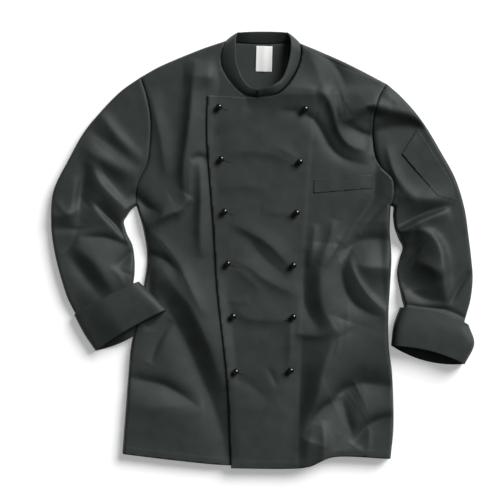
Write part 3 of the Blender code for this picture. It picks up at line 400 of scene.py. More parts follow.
LEFT_HALF = [
    # lap, between the buttons
    Fold(0.0018, 0.0080, 0.0080, [(-0.086, 0.214), (-0.060, 0.232), (-0.023, 0.258)]),
    Fold(0.0028, 0.0300, 0.0120, [(-0.075, 0.176), (-0.023, 0.180), (0.026, 0.173), (0.065, 0.154)]),
    Fold(0.0010, 0.0120, 0.0060, [(0.018, 0.191), (0.042, 0.180), (0.065, 0.169)]),
    Fold(0.0016, 0.0240, 0.0100, [(-0.082, 0.111), (-0.032, 0.117), (0.011, 0.111)]),
    Fold(0.0020, 0.0240, 0.0100, [(-0.004, 0.070), (0.029, 0.067), (0.063, 0.068)]),
    Fold(0.0045, 0.0220, 0.0090, [(-0.060, 0.050), (-0.019, 0.028), (0.014, 0.007), (0.057, -0.039)]),
    Fold(-0.0024, 0.0090, 0.0180, [(-0.056, 0.031), (-0.027, 0.020), (-0.004, -0.010), (0.055, -0.062)]),
    Fold(0.0028, 0.0200, 0.0090, [(-0.056, -0.021), (-0.023, -0.034), (0.007, -0.058), (0.074, -0.090)]),
    Fold(0.0018, 0.0140, 0.0100, [(-0.056, -0.032), (-0.030, -0.051), (-0.000, -0.080)]),
    Fold(0.0012, 0.0100, 0.0060, [(-0.064, -0.095), (-0.045, -0.099), (-0.023, -0.095)]),
    Fold(0.0032, 0.0280, 0.0090, [(-0.053, -0.106), (-0.028, -0.127), (0.007, -0.131), (0.057, -0.131)]),
    Fold(0.0034, 0.0090, 0.0090, [(0.052, -0.136), (0.052, -0.179), (0.048, -0.229)]),
    Fold(-0.0018, 0.0060, 0.0060, [(0.009, -0.218), (0.018, -0.235), (0.027, -0.255)]),
    Fold(-0.0022, 0.0140, 0.0140, [(-0.058, -0.237), (-0.023, -0.251), (0.014, -0.285)]),
    # shoulder and chest
    Fold(0.0025, 0.0140, 0.0200, [(0.070, 0.388), (0.093, 0.347), (0.111, 0.299), (0.128, 0.254)]),
    Fold(0.0090, 0.0340, 0.0090, [(0.100, 0.295), (0.119, 0.280), (0.130, 0.254), (0.139, 0.221),
                                 (0.152, 0.199), (0.171, 0.186), (0.197, 0.182)]),
    Fold(0.0100, 0.0240, 0.0300, [(-0.030, 0.295), (0.042, 0.299), (0.080, 0.297), (0.122, 0.284)]),
    Fold(-0.0050, 0.0080, 0.0120, [(0.026, 0.258), (0.070, 0.251), (0.096, 0.238), (0.113, 0.210),
                                 (0.128, 0.184), (0.154, 0.165), (0.200, 0.154)]),
    Fold(-0.0030, 0.0090, 0.0100, [(0.096, 0.373), (0.122, 0.351), (0.141, 0.329), (0.156, 0.295)]),
    Fold(0.0070, 0.0140, 0.0140, [(0.141, 0.245), (0.174, 0.258), (0.204, 0.266), (0.238, 0.262)]),
    Fold(0.0120, 0.0280, 0.0090, [(0.137, 0.238), (0.161, 0.238), (0.178, 0.251), (0.197, 0.266),
                                 (0.219, 0.258), (0.247, 0.253), (0.275, 0.247), (0.308, 0.227)]),
    Fold(-0.0090, 0.0080, 0.0260, [(0.145, 0.232), (0.174, 0.219), (0.197, 0.210), (0.215, 0.221),
                                 (0.238, 0.227), (0.275, 0.228), (0.312, 0.217)]),
    Fold(0.0030, 0.0120, 0.0080, [(0.219, 0.295), (0.234, 0.280), (0.252, 0.269)]),
    Fold(-0.0070, 0.0050, 0.0100, [(0.199, 0.240), (0.202, 0.202), (0.208, 0.169), (0.217, 0.143)]),
    Fold(-0.0090, 0.0200, 0.0140, [(0.206, 0.173), (0.208, 0.128), (0.204, 0.094), (0.184, 0.063),
                                 (0.148, 0.013)]),
    Fold(-0.0030, 0.0040, 0.0060, [(0.236, 0.094), (0.212, 0.067), (0.178, 0.029)]),
    # body, right of the buttons
    Fold(0.0040, 0.0080, 0.0090, [(0.098, 0.046), (0.093, 0.007), (0.083, -0.034)]),
    Fold(0.0045, 0.0140, 0.0090, [(0.132, 0.054), (0.126, 0.024), (0.117, -0.002), (0.107, -0.032)]),
    Fold(0.0125, 0.0360, 0.0220, [(0.111, 0.011), (0.107, -0.036), (0.107, -0.077),
                                 (0.113, -0.114), (0.132, -0.145), (0.141, -0.162)]),
    Fold(-0.0060, 0.0180, 0.0120, [(0.081, -0.002), (0.076, -0.067), (0.081, -0.110), (0.106, -0.151)]),
    Fold(0.0040, 0.0140, 0.0080, [(0.059, -0.155), (0.085, -0.160), (0.111, -0.158), (0.137, -0.145)]),
    Fold(0.0025, 0.0060, 0.0060, [(0.158, 0.042), (0.141, 0.013), (0.126, -0.013), (0.109, -0.043)]),
    Fold(0.0065, 0.0060, 0.0180, [(0.159, -0.013), (0.167, -0.039), (0.180, -0.064),
                                 (0.195, -0.084), (0.212, -0.101), (0.236, -0.123)]),
    Fold(0.0140, 0.0360, 0.0260, [(0.156, -0.019), (0.189, -0.032), (0.215, -0.034), (0.249, -0.038)]),
    Fold(-0.0060, 0.0140, 0.0300, [(0.217, 0.050), (0.219, -0.002), (0.221, -0.058), (0.232, -0.125)]),
    Fold(-0.0050, 0.0090, 0.0160, [(0.143, 0.003), (0.146, -0.043), (0.154, -0.080),
                                 (0.173, -0.105), (0.197, -0.119), (0.230, -0.131)]),
    Fold(-0.0110, 0.0150, 0.0320, [(0.137, -0.006), (0.163, 0.003), (0.186, 0.015),
                                 (0.210, 0.018), (0.245, 0.015)]),
    Fold(0.0020, 0.0040, 0.0050, [(0.146, -0.147), (0.135, -0.207), (0.120, -0.263)]),
    Fold(0.0015, 0.0050, 0.0050, [(0.158, -0.092), (0.154, -0.170), (0.139, -0.248)]),
    Fold(0.0160, 0.0360, 0.0220, [(0.145, -0.129), (0.124, -0.188), (0.111, -0.229),
                                 (0.102, -0.272), (0.093, -0.309), (0.085, -0.356), (0.081, -0.419)]),
    Fold(-0.0140, 0.0100, 0.0340, [(0.081, -0.352), (0.093, -0.318), (0.107, -0.298),
                                 (0.130, -0.281), (0.150, -0.261), (0.171, -0.250)]),
    Fold(-0.0150, 0.0260, 0.0260, [(0.126, -0.276), (0.178, -0.251), (0.204, -0.251), (0.252, -0.257)]),
    Fold(-0.0070, 0.0110, 0.0280, [(0.146, -0.274), (0.158, -0.318), (0.171, -0.367)]),
    Fold(-0.0110, 0.0100, 0.0200, [(0.169, -0.363), (0.186, -0.337), (0.204, -0.322), (0.249, -0.305)]),
    Fold(0.0070, 0.0100, 0.0130, [(0.109, -0.318), (0.115, -0.356), (0.109, -0.408)]),
    Fold(-0.0070, 0.0200, 0.0240, [(0.072, -0.158), (0.070, -0.244), (0.066, -0.318), (0.066, -0.397)]),
    Fold(0.0020, 0.0060, 0.0080, [(0.193, -0.315), (0.197, -0.348), (0.193, -0.385)]),
    # sleeve, from the armhole to the elbow
    Fold(0.0055, 0.0130, 0.0070, [(0.228, 0.193), (0.236, 0.160), (0.247, 0.132), (0.264, 0.108),
                                 (0.286, 0.091)]),
    Fold(0.0090, 0.0180, 0.0180, [(0.241, 0.104), (0.275, 0.094), (0.312, 0.091), (0.351, 0.085)]),
    Fold(-0.0090, 0.0140, 0.0040, [(0.241, 0.035), (0.293, 0.061), (0.327, 0.074), (0.353, 0.083)]),
    Fold(-0.0030, 0.0040, 0.0040, [(0.286, 0.048), (0.316, 0.065), (0.349, 0.076)]),
    Fold(0.0120, 0.0050, 0.0180, [(0.238, 0.024), (0.271, 0.041), (0.301, 0.057), (0.344, 0.074)]),
    # sleeve, below the elbow
    Fold(0.0180, 0.0080, 0.0360, [(0.284, 0.035), (0.308, 0.029), (0.323, 0.011), (0.331, -0.013),
                                 (0.334, -0.049), (0.340, -0.110)]),
    Fold(0.0080, 0.0160, 0.0140, [(0.282, -0.023), (0.312, -0.034), (0.334, -0.054)]),
    Fold(-0.0160, 0.0380, 0.0100, [(0.247, 0.031), (0.251, -0.025), (0.254, -0.077)]),
    Fold(-0.0070, 0.0260, 0.0100, [(0.249, -0.054), (0.279, -0.080), (0.303, -0.092), (0.345, -0.099)]),
    Fold(-0.0040, 0.0050, 0.0020, [(0.245, -0.101), (0.293, -0.108), (0.331, -0.112),
                                 (0.359, -0.121), (0.390, -0.140)]),
    Fold(-0.0040, 0.0050, 0.0050, [(0.334, -0.112), (0.351, -0.092), (0.364, -0.069), (0.385, -0.041)]),
]
LAP_HEM = (-0.058, -0.405)
LAP_TOP = (-0.101, 0.284)
CENTRE = (-0.008, 0.279)
LAP_EDGE = [LAP_HEM, (-0.065, -0.240), (-0.083, -0.075), (-0.090, 0.040), (-0.102, 0.200), LAP_TOP]
LAP_BLEND = 0.022           # width over which the lap takes on its own folds
WAVER = 0.0005              # height of the cloth's smallest unevenness
WAVER_SCALE = 26.0          # how many of those there are in a metre
FOLD_ENDS = 0.8             # how bluntly a fold's height fades towards its ends
FOLD_SHARPNESS = 1.5        # 1 for a pressed crease, 2 for a round one
SPINE_STEPS = 12
REACH = 3.0                 # flank widths past which a fold is no longer felt


def relief(points, folds):
    """Height that the folds add at each point."""
    flat = points.reshape(-1, 2)
    total = np.zeros(len(flat))
    for fold in folds:
        spine = smooth_line(fold.spine, SPINE_STEPS)
        reach = REACH * max(fold.left, fold.right)
        near = np.all((flat > spine.min(axis=0) - reach) & (flat < spine.max(axis=0) + reach), axis=1)
        spot = flat[near]
        nearest = np.full(len(spot), np.inf)
        aside = np.zeros(len(spot))
        part = np.zeros(len(spot))
        for number, (start, end) in enumerate(zip(spine[:-1], spine[1:])):
            step = end - start
            t = np.clip((spot - start) @ step / (step @ step), 0, 1)
            gap = spot - start - t[:, None] * step
            distance = np.linalg.norm(gap, axis=1)
            closer = distance < nearest
            nearest[closer] = distance[closer]
            side = np.where(step[0] * gap[:, 1] - step[1] * gap[:, 0] > 0, fold.left, fold.right)
            aside[closer] = (distance / side)[closer]
            part[closer] = (number + t[closer]) / SPINE_STEPS
        total[near] += fold.rise * (4 * part * (1 - part)) ** FOLD_ENDS * np.exp(-aside ** FOLD_SHARPNESS)
    return total.reshape(points.shape[:-1])


def waver(points):
    """Small seeded unevenness, so that no part of the cloth is quite flat."""
    flat = points.reshape(-1, 2) * WAVER_SCALE
    values = [noise.noise((x, y, 0.0)) + 0.5 * noise.noise((2 * x, 2 * y, 3.0)) for x, y in flat]
    return WAVER * np.array(values).reshape(points.shape[:-1])


def own_share(points):
    """0 where the lap follows the front under its edge, 1 where it has its own folds."""
    edge_x = np.interp(points[..., 1], [p[1] for p in LAP_EDGE], [p[0] for p in LAP_EDGE])
    return smooth((points[..., 0] - edge_x) / LAP_BLEND)


SEAM_GROOVE = 0.0013        # depth of the groove along an armhole seam
SHOULDER_GROOVE = 0.0007
SEAM_WIDTH = 0.0026
armholes = [smooth_line(LEFT_ARMHOLE, 40), smooth_line(RIGHT_ARMHOLE, 40)]
shoulder_seams = [smooth_line([(0.079, 0.372), (0.118, 0.352), (0.164, 0.331), (0.210, 0.314)], 20)]


def upper_level(points, crown=CROWN):
    """Height of the upper face of the upper layer."""
    share = own_share(points)
    folds = (1 - share) * relief(points, RIGHT_HALF) + share * relief(points, LEFT_HALF)
    swell = rounded(from_edge(points), CROWN_ROUND)
    grooves = SEAM_GROOVE * np.exp(-(distance_to(points, armholes) / SEAM_WIDTH) ** 2)
    grooves = grooves + SHOULDER_GROOVE * np.exp(-(distance_to(points, shoulder_seams) / SEAM_WIDTH) ** 2)
    return SEAM_LEVEL + (crown - SEAM_LEVEL + folds) * swell + waver(points) * swell - grooves * swell


# ---- Right front ---------------------------------------------------------------------------
# The front that lies under the lap: a panel of twill from the right side seam to a plain edge
# under the left buttons, with a narrow turned hem.
RIGHT_FRONT_HEM = [LEFT_HEM, (-0.160, -0.391), (-0.060, -0.400), (0.060, -0.398)]
UNDER_EDGE = [(0.060, -0.398), (0.064, -0.230), (0.070, -0.030), (0.083, 0.160), (0.094, 0.268)]
LEFT_NECKLINE = [LEFT_NECK, (-0.077, 0.345), (-0.066, 0.318), (-0.040, 0.288), CENTRE]
HEM_WIDTH = 0.015
HEM_STEP = 0.0005           # the turned hem is one layer thicker
HEM_SLOPE = 0.0025          # width over which that layer ends


def hem_step(points, hem):
    return HEM_STEP * smooth((HEM_WIDTH - distance_to(points, [hem])) / HEM_SLOPE)


under_hem = smooth_line(RIGHT_FRONT_HEM, 60)
under_outline = closed(FINE, RIGHT_FRONT_HEM, UNDER_EDGE, [UNDER_EDGE[-1], CENTRE], LEFT_NECKLINE[::-1],
                       LEFT_SHOULDER[::-1], LEFT_ARMHOLE[::-1], LEFT_SIDE[::-1])
under_mesh = cut_mesh("right_front", under_outline, FINE,
                      lambda p: upper_level(p) + hem_step(p, under_hem))
right_front = piece(under_mesh, twill, "charcoal_twill", "front_right")
give_wall(right_front, CLOTH)


# ---- Left front ----------------------------------------------------------------------------
# The front that laps over the other one and carries both rows of buttons. Its free edge is a
# folded facing, so it stands a little off the front below and throws a thin shadow.
LEFT_FRONT_HEM = [LAP_HEM, (0.040, -0.406), (0.086, -0.402), (0.135, -0.384), RIGHT_HEM]
RIGHT_NECKLINE = [CENTRE, (0.030, 0.286), (0.057, 0.316), (0.071, 0.350), RIGHT_NECK]
LAP_LIFT = 0.0036           # how far the lap lies above the front under it
LAP_REST = 0.0027           # and past that front's edge
LAP_RUN = 0.007             # width over which it comes down there
LAP_TOP_CLEAR = 0.006       # it keeps that height this far above its top edge
LAP_TOP_RUN = 0.016         # and then comes down towards the shoulder


def lap_lift(points):
    """How much higher the lap lies because of the front under it."""
    under_x = np.interp(points[..., 1], [p[1] for p in UNDER_EDGE], [p[0] for p in UNDER_EDGE])
    past = smooth((points[..., 0] - under_x) / LAP_RUN)
    above = np.clip((points[..., 1] - CENTRE[1] - LAP_TOP_CLEAR) / LAP_TOP_RUN, 0, 1)
    return (LAP_LIFT - (LAP_LIFT - LAP_REST) * past) * (1 - above)


def lapped_level(points):
    return upper_level(points) + lap_lift(points)


lap_hem = smooth_line(LEFT_FRONT_HEM, 60)
lap_outline = closed(FINE, LEFT_FRONT_HEM, RIGHT_SIDE, RIGHT_ARMHOLE, RIGHT_SHOULDER[::-1],
                     RIGHT_NECKLINE[::-1], [CENTRE, LAP_TOP], LAP_EDGE[::-1])
lap_mesh = cut_mesh("left_front", lap_outline, FINE, lambda p: lapped_level(p) + hem_step(p, lap_hem))
left_front = piece(lap_mesh, twill, "charcoal_twill", "front_left")
give_wall(left_front, CLOTH)


# ---- Sleeves -------------------------------------------------------------------------------
# Each sleeve is one tube of twill, sewn into the armhole. It lies flat, bent at the elbow, and
# its last stretch is inside the turned-up cuff.
LIFT_FROM = 0.05            # across a sleeve, where it starts to rise over the body
LIFT_FULL = 0.47            # and where it has risen in full
ARMHOLE_STEPS = 60
ARMHOLE_RINGS = 26          # rings over which the armhole's curve fades out
ARMHOLE_FADE = 1.5
SLEEVE_CLEAR = 0.0005       # above the crown of its section
SLEEVE_CROWN = 0.023        # the highest that a crown may be


def tube(name, plan, level, t, upper, wide, along, node):
    """A tube of twill through rings of points, joined all round, with its grain lengthwise."""
    turned = np.where(upper, t, 2 - t)[None] * wide[:, None]
    grain = np.dstack([turned, np.repeat(along[:, None], len(t), 1)])
    mesh = grid_mesh(name, np.dstack([plan, level]), grain)
    bm = bmesh.new()
    bm.from_mesh(mesh)
    bmesh.ops.remove_doubles(bm, verts=bm.verts, dist=1e-5)
    bmesh.ops.recalc_face_normals(bm, faces=bm.faces)
    bm.to_mesh(mesh)
    bm.free()
    return piece(mesh, twill, "charcoal_twill", node)


def sleeve(name, rows, armhole, node):
    """A sleeve through its rows, whose first rings follow the armhole's curve."""
    around = np.linspace(0, 1, AROUND + 1)
    t = (1 - np.cos(2 * np.pi * around)) / 2
    upper = around <= 0.5
    plan = rows[:, None, 0:2] * (1 - t)[None, :, None] + rows[:, None, 2:4] * t[None, :, None]
    curve = smooth_line(armhole[::-1], ARMHOLE_STEPS)
    parts = np.linspace(0, 1, ARMHOLE_STEPS + 1)
    straight = curve[0] * (1 - parts[:, None]) + curve[-1] * parts[:, None]
    bow = np.column_stack([np.interp(t, parts, (curve - straight)[:, i]) for i in (0, 1)])
    fade = np.clip(1 - np.arange(len(rows)) / ARMHOLE_RINGS, 0, 1) ** ARMHOLE_FADE
    plan = plan + bow[None] * fade[:, None, None]
    across = smooth((t - LIFT_FROM) / (LIFT_FULL - LIFT_FROM))[None]
    lift = rows[:, 5, None] * (1 - across) + rows[:, 6, None] * across
    top = upper_level(plan, np.minimum(rows[:, 4, None] + SLEEVE_CLEAR, SLEEVE_CROWN)) + lift
    level = np.where(upper[None], top, under_level(plan) + lift)
    along = np.cumsum(np.concatenate([[0], np.linalg.norm(np.diff(plan[:, 0], axis=0), axis=1)]))
    wide = np.linalg.norm(rows[:, 2:4] - rows[:, 0:2], axis=1)
    return tube(name, plan, level, t, upper, wide, along, node)


right_arm = sleeve("right_sleeve", left_sleeve, LEFT_ARMHOLE, "sleeve_right")
left_arm = sleeve("left_sleeve", right_sleeve, RIGHT_ARMHOLE, "sleeve_left")
for arm, cut_area in ((right_arm, 0.150), (left_arm, 0.130)):
    give_wall(arm, CLOTH)


# ---- Cuffs ---------------------------------------------------------------------------------
# The sleeve ends are turned up once into a doubled band. Its free edge points to the elbow, and
# the mouth is a soft fold that stands open.
CuffRow = namedtuple("CuffRow", "outer_x outer_y inner_x inner_y crown lift bow_upper bow_under")
LEFT_CUFF = [
    CuffRow(-0.349, -0.122, -0.229, -0.060, 0.0255, 0.008, 0.003, 0.000),
    CuffRow(-0.330, -0.158, -0.203, -0.085, 0.0255, 0.0155, 0.003, -0.004),
    CuffRow(-0.309, -0.189, -0.177, -0.112, 0.0245, 0.0155, 0.004, -0.012),
]
RIGHT_CUFF = [
    CuffRow(0.382, -0.141, 0.255, -0.108, 0.030, 0.000, 0.011, 0.000),
    CuffRow(0.392, -0.176, 0.243, -0.142, 0.034, 0.000, 0.010, -0.006),
    CuffRow(0.374, -0.214, 0.2385, -0.179, 0.034, 0.000, 0.008, -0.012),
]
CUFF_RINGS = 30
CUFF_AROUND = 120
CUFF_DEPTH = 0.085
CUFF_MIDDLE = 0.00785       # height of its side folds
CUFF_REACH = 0.022          # width of the rounding from a side fold to the crown
CUFF_FULLNESS = 0.85        # 1 for a round side, less for a fuller one
CUFF_UNDER = 0.0003         # height of its underside
CUFF_UNDER_REACH = 0.016
CUFF_WALL = 0.0022


def cuff(name, rows, node):
    """A doubled band, open at the mouth."""
    table = smooth_line(np.array(rows), CUFF_RINGS)
    around = np.linspace(0, 1, CUFF_AROUND + 1)
    t = (1 - np.cos(2 * np.pi * around)) / 2
    upper = around <= 0.5
    ends = table[:, 2:4] - table[:, 0:2]
    aside = np.column_stack([-ends[:, 1], ends[:, 0]]) / np.linalg.norm(ends, axis=1)[:, None]
    aside = np.where(aside[:, 1:2] > 0, aside, -aside)
    bow = np.where(upper[None], table[:, 6, None], table[:, 7, None]) * 4 * t * (1 - t)
    plan = (table[:, None, 0:2] * (1 - t)[None, :, None] + table[:, None, 2:4] * t[None, :, None]
            + aside[:, None] * bow[:, :, None])
    lift = table[:, 5, None] * smooth((t - LIFT_FROM) / (LIFT_FULL - LIFT_FROM))[None]
    sides = [plan[:, 0], plan[:, CUFF_AROUND // 2]]
    distance = distance_to(plan, sides)
    crown = rounded(distance, CUFF_REACH) ** CUFF_FULLNESS
    top = CUFF_MIDDLE + (table[:, 4, None] - CUFF_MIDDLE) * crown
    bottom = CUFF_MIDDLE + (CUFF_UNDER - CUFF_MIDDLE) * rounded(distance, CUFF_UNDER_REACH)
    level = np.where(upper[None], top, bottom) + lift + waver(plan)
    along = np.linspace(0, CUFF_DEPTH, len(table))
    wide = np.linalg.norm(ends, axis=1)
    return tube(name, plan, level, t, upper, wide, along, node)


for name, rows, node in (("right_cuff", LEFT_CUFF, "cuff_right"), ("left_cuff", RIGHT_CUFF, "cuff_left")):
    band = cuff(name, rows, node)
    give_wall(band, CUFF_WALL)


# ---- Collar --------------------------------------------------------------------------------
# A doubled, stiffened band that stands round the neck, leaning inwards. Its two ends meet at the
# front, and it is sewn to the fronts and the back along its lower edge.
CollarRow = namedtuple("CollarRow", "seam_x seam_y top_x top_y rise on_back")
COLLAR_ROWS = [
    CollarRow(-0.0083, 0.280, -0.0083, 0.294, 0.008, False),
    CollarRow(-0.037, 0.288, -0.023, 0.299, 0.008, False),
    CollarRow(-0.062, 0.315, -0.038, 0.317, 0.008, False),
    CollarRow(-0.075, 0.345, -0.048, 0.348, 0.009, False),
    CollarRow(-0.072, 0.372, -0.049, 0.384, 0.007, False),
    CollarRow(-0.067, 0.386, -0.046, 0.399, 0.012, True),
    CollarRow(-0.058, 0.386, -0.039, 0.401, 0.011, True),
    CollarRow(-0.045, 0.384, -0.030, 0.402, 0.010, True),
    CollarRow(-0.015, 0.382, -0.010, 0.403, 0.008, True),
    CollarRow(0.015, 0.382, 0.012, 0.403, 0.008, True),
    CollarRow(0.045, 0.384, 0.032, 0.402, 0.010, True),
    CollarRow(0.058, 0.384, 0.041, 0.401, 0.011, True),
    CollarRow(0.069, 0.382, 0.047, 0.399, 0.012, True),
    CollarRow(0.070, 0.370, 0.052, 0.383, 0.007, False),
    CollarRow(0.067, 0.345, 0.049, 0.350, 0.009, False),
    CollarRow(0.053, 0.316, 0.037, 0.316, 0.008, False),
    CollarRow(0.028, 0.289, 0.017, 0.300, 0.008, False),
    CollarRow(-0.0077, 0.280, -0.0077, 0.294, 0.008, False),
]
COLLAR_HEIGHT = 0.030
COLLAR_WALL = 0.0022
COLLAR_FOOT = 0.001         # its lower edge, above the back's cloth
COLLAR_STEPS = 200
COLLAR_RINGS = 14
COLLAR_BULGE = 0.001        # how far it bows outwards at half height
COLLAR_STAND = 1.5          # 1 for a straight lean, more for a band that stands then turns in
NECK_CENTRE = (0.0, 0.345)


def collar_band():
    """The band from one front end round to the other, from its seam up to its free edge."""
    rows = []
    for row in COLLAR_ROWS:
        seam = np.array([[row.seam_x, row.seam_y]])
        cloth = under_level(seam) + COLLAR_FOOT if row.on_back else upper_level(seam)
        if row.seam_x > CENTRE[0] and not row.on_back:
            cloth = cloth + lap_lift(seam)
        base = float(cloth[0])
        rows.append((row.seam_x, row.seam_y, base, row.top_x, row.top_y, base + row.rise))
    line = smooth_line(rows, COLLAR_STEPS)
    part = np.linspace(0, 1, COLLAR_RINGS + 1)[:, None, None]
    band = line[None, :, :3] * (1 - part) + line[None, :, 3:] * part
    band[:, :, 2] += (line[:, 5] - line[:, 2]) * (1 - (1 - part[:, :, 0]) ** COLLAR_STAND - part[:, :, 0])
    outwards = band[:, :, :2] - NECK_CENTRE
    outwards /= np.linalg.norm(outwards, axis=2)[:, :, None]
    band[:, :, :2] += outwards * COLLAR_BULGE * 4 * part * (1 - part)
    run = np.cumsum(np.concatenate([[0], np.linalg.norm(np.diff(line[:, :3], axis=0), axis=1)]))
    grain = np.dstack([np.repeat(run[None], COLLAR_RINGS + 1, 0),
                       np.repeat(part[:, 0] * COLLAR_HEIGHT, len(run), 1)])
    mesh = grid_mesh("stand_collar", band, grain)
    return piece(mesh, twill, "charcoal_twill", "collar")


collar = collar_band()
give_wall(collar, COLLAR_WALL, offset=0)


# ---- Pockets -------------------------------------------------------------------------------
# A welt on the left chest and a patch on the left sleeve, both of the same twill, cut from the
# cloth's own surface and laid just above it.
WELT_CORNERS = [(0.095, 0.128), (0.094, 0.103), (0.203, 0.112), (0.203, 0.137)]
SLEEVE_POCKET_CORNERS = [(0.258, 0.176), (0.323, 0.098), (0.357, 0.089), (0.349, 0.124), (0.287, 0.222)]
ARM_POCKET_CROWN = 0.0220
PATCH_RISE = 0.0003
PATCH_CELL = 0.0025
PATCH_WALL = 0.0007


def patch_piece(name, corners, level, node):
    """A flat-sewn piece: a fine grid cut to the corners and laid over the cloth's level."""
    corner = np.array(corners)
    low, high = corner.min(axis=0) - PATCH_CELL, corner.max(axis=0) + PATCH_CELL
    columns, rows = (steps(size, PATCH_CELL) for size in high - low)
    x, y = np.meshgrid(np.linspace(low[0], high[0], columns + 1), np.linspace(low[1], high[1], rows + 1))
    plan = np.dstack([x, y])
    mesh = grid_mesh(name, np.dstack([plan, np.zeros(x.shape)]), plan)
    bm = bmesh.new()
    bm.from_mesh(mesh)
    for (x0, y0), (x1, y1) in zip(corners, corners[1:] + corners[:1]):
        geom = bm.verts[:] + bm.edges[:] + bm.faces[:]
        bmesh.ops.bisect_plane(bm, geom=geom, dist=1e-6, plane_co=(x0, y0, 0),
                               plane_no=(y1 - y0, x0 - x1, 0), clear_outer=True)
    bm.to_mesh(mesh)
    bm.free()
    co = np.empty(len(mesh.vertices) * 3)
    mesh.vertices.foreach_get("co", co)
    co = co.reshape(-1, 3)
    co[:, 2] = level(co[:, :2]) + PATCH_RISE
    mesh.vertices.foreach_set("co", co.ravel())
    return piece(mesh, twill, "charcoal_twill", node)


welt = patch_piece("chest_welt", WELT_CORNERS, lapped_level, "chest_pocket_welt")
give_wall(welt, PATCH_WALL, offset=0)
arm_pocket = patch_piece("arm_pocket", SLEEVE_POCKET_CORNERS,
                         lambda p: upper_level(p, ARM_POCKET_CROWN), "sleeve_pocket")
give_wall(arm_pocket, PATCH_WALL, offset=0)


# ---- Label ---------------------------------------------------------------------------------
# A white woven tape, sewn to the inside of the back below the collar by its short ends.
LABEL = (0.030, 0.048)
LABEL_TURN = math.radians(-1.5)
LABEL_REST = 0.0021         # height of its sewn ends
LABEL_BULGE = 0.0012        # how far it lifts between them
LABEL_CURL = 0.0003
LABEL_WALL = 0.0004


def label_material():
    mat, shader = new_material("white_woven_tape", {"Roughness": 0.6})
    grain = add_node(mat, "Attribute", {}, attribute_name="grain").outputs["Vector"]
    weft = add_node(mat, "TexWave", {"Scale": 600, "Distortion": 0.4, "Vector": grain},
                    bands_direction="Y").outputs["Fac"]
    tones = {"A": (0.80, 0.80, 0.79, 1), "B": (0.93, 0.93, 0.92, 1), "Factor": weft}
    tone = add_node(mat, "Mix", tones, data_type="RGBA")
    bump = add_node(mat, "Bump", {"Strength": 0.4, "Distance": 0.0001, "Height": weft})
    set_inputs(mat, shader, {"Base Color": tone.outputs["Result"], "Normal": bump.outputs["Normal"]})
    return mat


u, v = np.meshgrid(np.linspace(-0.5, 0.5, 21), np.linspace(-0.5, 0.5, 31))
turned_x = LABEL[0] * u * math.cos(LABEL_TURN) - LABEL[1] * v * math.sin(LABEL_TURN) + LABEL_CENTRE[0]
turned_y = LABEL[0] * u * math.sin(LABEL_TURN) + LABEL[1] * v * math.cos(LABEL_TURN) + LABEL_CENTRE[1]
level = LABEL_REST + LABEL_BULGE * (1 - (2 * v) ** 2) + LABEL_CURL * np.cos(9 * u)
weft_places = np.dstack([u * LABEL[0], v * LABEL[1]])
tape = grid_mesh("woven_label", np.dstack([turned_x, turned_y, level]), weft_places)
label = piece(tape, label_material(), "woven_label", "neck_label")
give_wall(label, LABEL_WALL)


# ---- Buttons -------------------------------------------------------------------------------
# Twelve polished black balls on short stems, in two columns. Each stem goes through a worked
# hole in the lap, and the columns close towards the waist.
ButtonRow = namedtuple("ButtonRow", "left_x left_y right_x right_y")
BUTTONS = [
    ButtonRow(-0.080, 0.262, 0.079, 0.258),
    ButtonRow(-0.076, 0.166, 0.069, 0.161),
    ButtonRow(-0.070, 0.069, 0.063, 0.067),
    ButtonRow(-0.064, -0.027, 0.057, -0.030),
    ButtonRow(-0.054, -0.124, 0.057, -0.125),
    ButtonRow(-0.049, -0.226, 0.052, -0.224),
]
BALL_RADIUS = 0.0060
BALL_MIDDLE = 0.0072        # above the stem's foot
BALL_SQUASH = 0.96          # a moulded ball is slightly flat on top
BALL_RINGS = 16
STEM_RADIUS = 0.0018
FOOT_PROFILE = [(0, 0), (0.0032, 0), (0.0034, 0.0004), (0.0032, 0.0008), (STEM_RADIUS, 0.0010),
                (STEM_RADIUS, 0.0020)]


def button_material():
    polish = {"Base Color": (0.0045, 0.0045, 0.0048, 1), "Coat Weight": 0.6}
    mat, shader = new_material("black_button", polish)
    place = add_node(mat, "TexCoord", {}).outputs["Object"]
    wear = add_node(mat, "TexNoise", {"Scale": 400, "Vector": place}).outputs["Fac"]
    dull = add_node(mat, "MapRange", {"To Min": 0.10, "To Max": 0.22, "Value": wear})
    set_inputs(mat, shader, {"Roughness": dull.outputs["Result"]})
    return mat


def ball_button(name, x, y, z, material, node):
    """A ball with a stem and a small collar at the stem's foot, turned about its own axis."""
    profile = list(FOOT_PROFILE)
    first = math.asin(STEM_RADIUS / BALL_RADIUS)
    for step in range(BALL_RINGS + 1):
        angle = first + (math.pi - first) * step / BALL_RINGS
        height = BALL_MIDDLE - BALL_SQUASH * BALL_RADIUS * math.cos(angle)
        profile.append((BALL_RADIUS * math.sin(angle), height))
    bm = bmesh.new()
    verts = [bm.verts.new((max(r, 0), 0, h)) for r, h in profile]
    edges = [bm.edges.new(pair) for pair in zip(verts[:-1], verts[1:])]
    bmesh.ops.spin(bm, geom=verts + edges, cent=(0, 0, 0), axis=(0, 0, 1), steps=32,
                   angle=2 * math.pi, use_merge=True)
    bmesh.ops.remove_doubles(bm, verts=bm.verts, dist=1e-5)
    bmesh.ops.recalc_face_normals(bm, faces=bm.faces)
    bmesh.ops.translate(bm, verts=bm.verts, vec=(x, y, z))
    mesh = bpy.data.meshes.new(name)
    bm.to_mesh(mesh)
    bm.free()
    return piece(mesh, material, "black_button", node)


black = button_material()
for number, row in enumerate(BUTTONS, start=1):
    for side, x, y in (("right", row.left_x, row.left_y), ("left", row.right_x, row.right_y)):
        z = float(lapped_level(np.array([[x, y]]))[0])
        ball_button(f"ball_{side}_{number}", x, y, z, black, f"button_{side}_{number}")


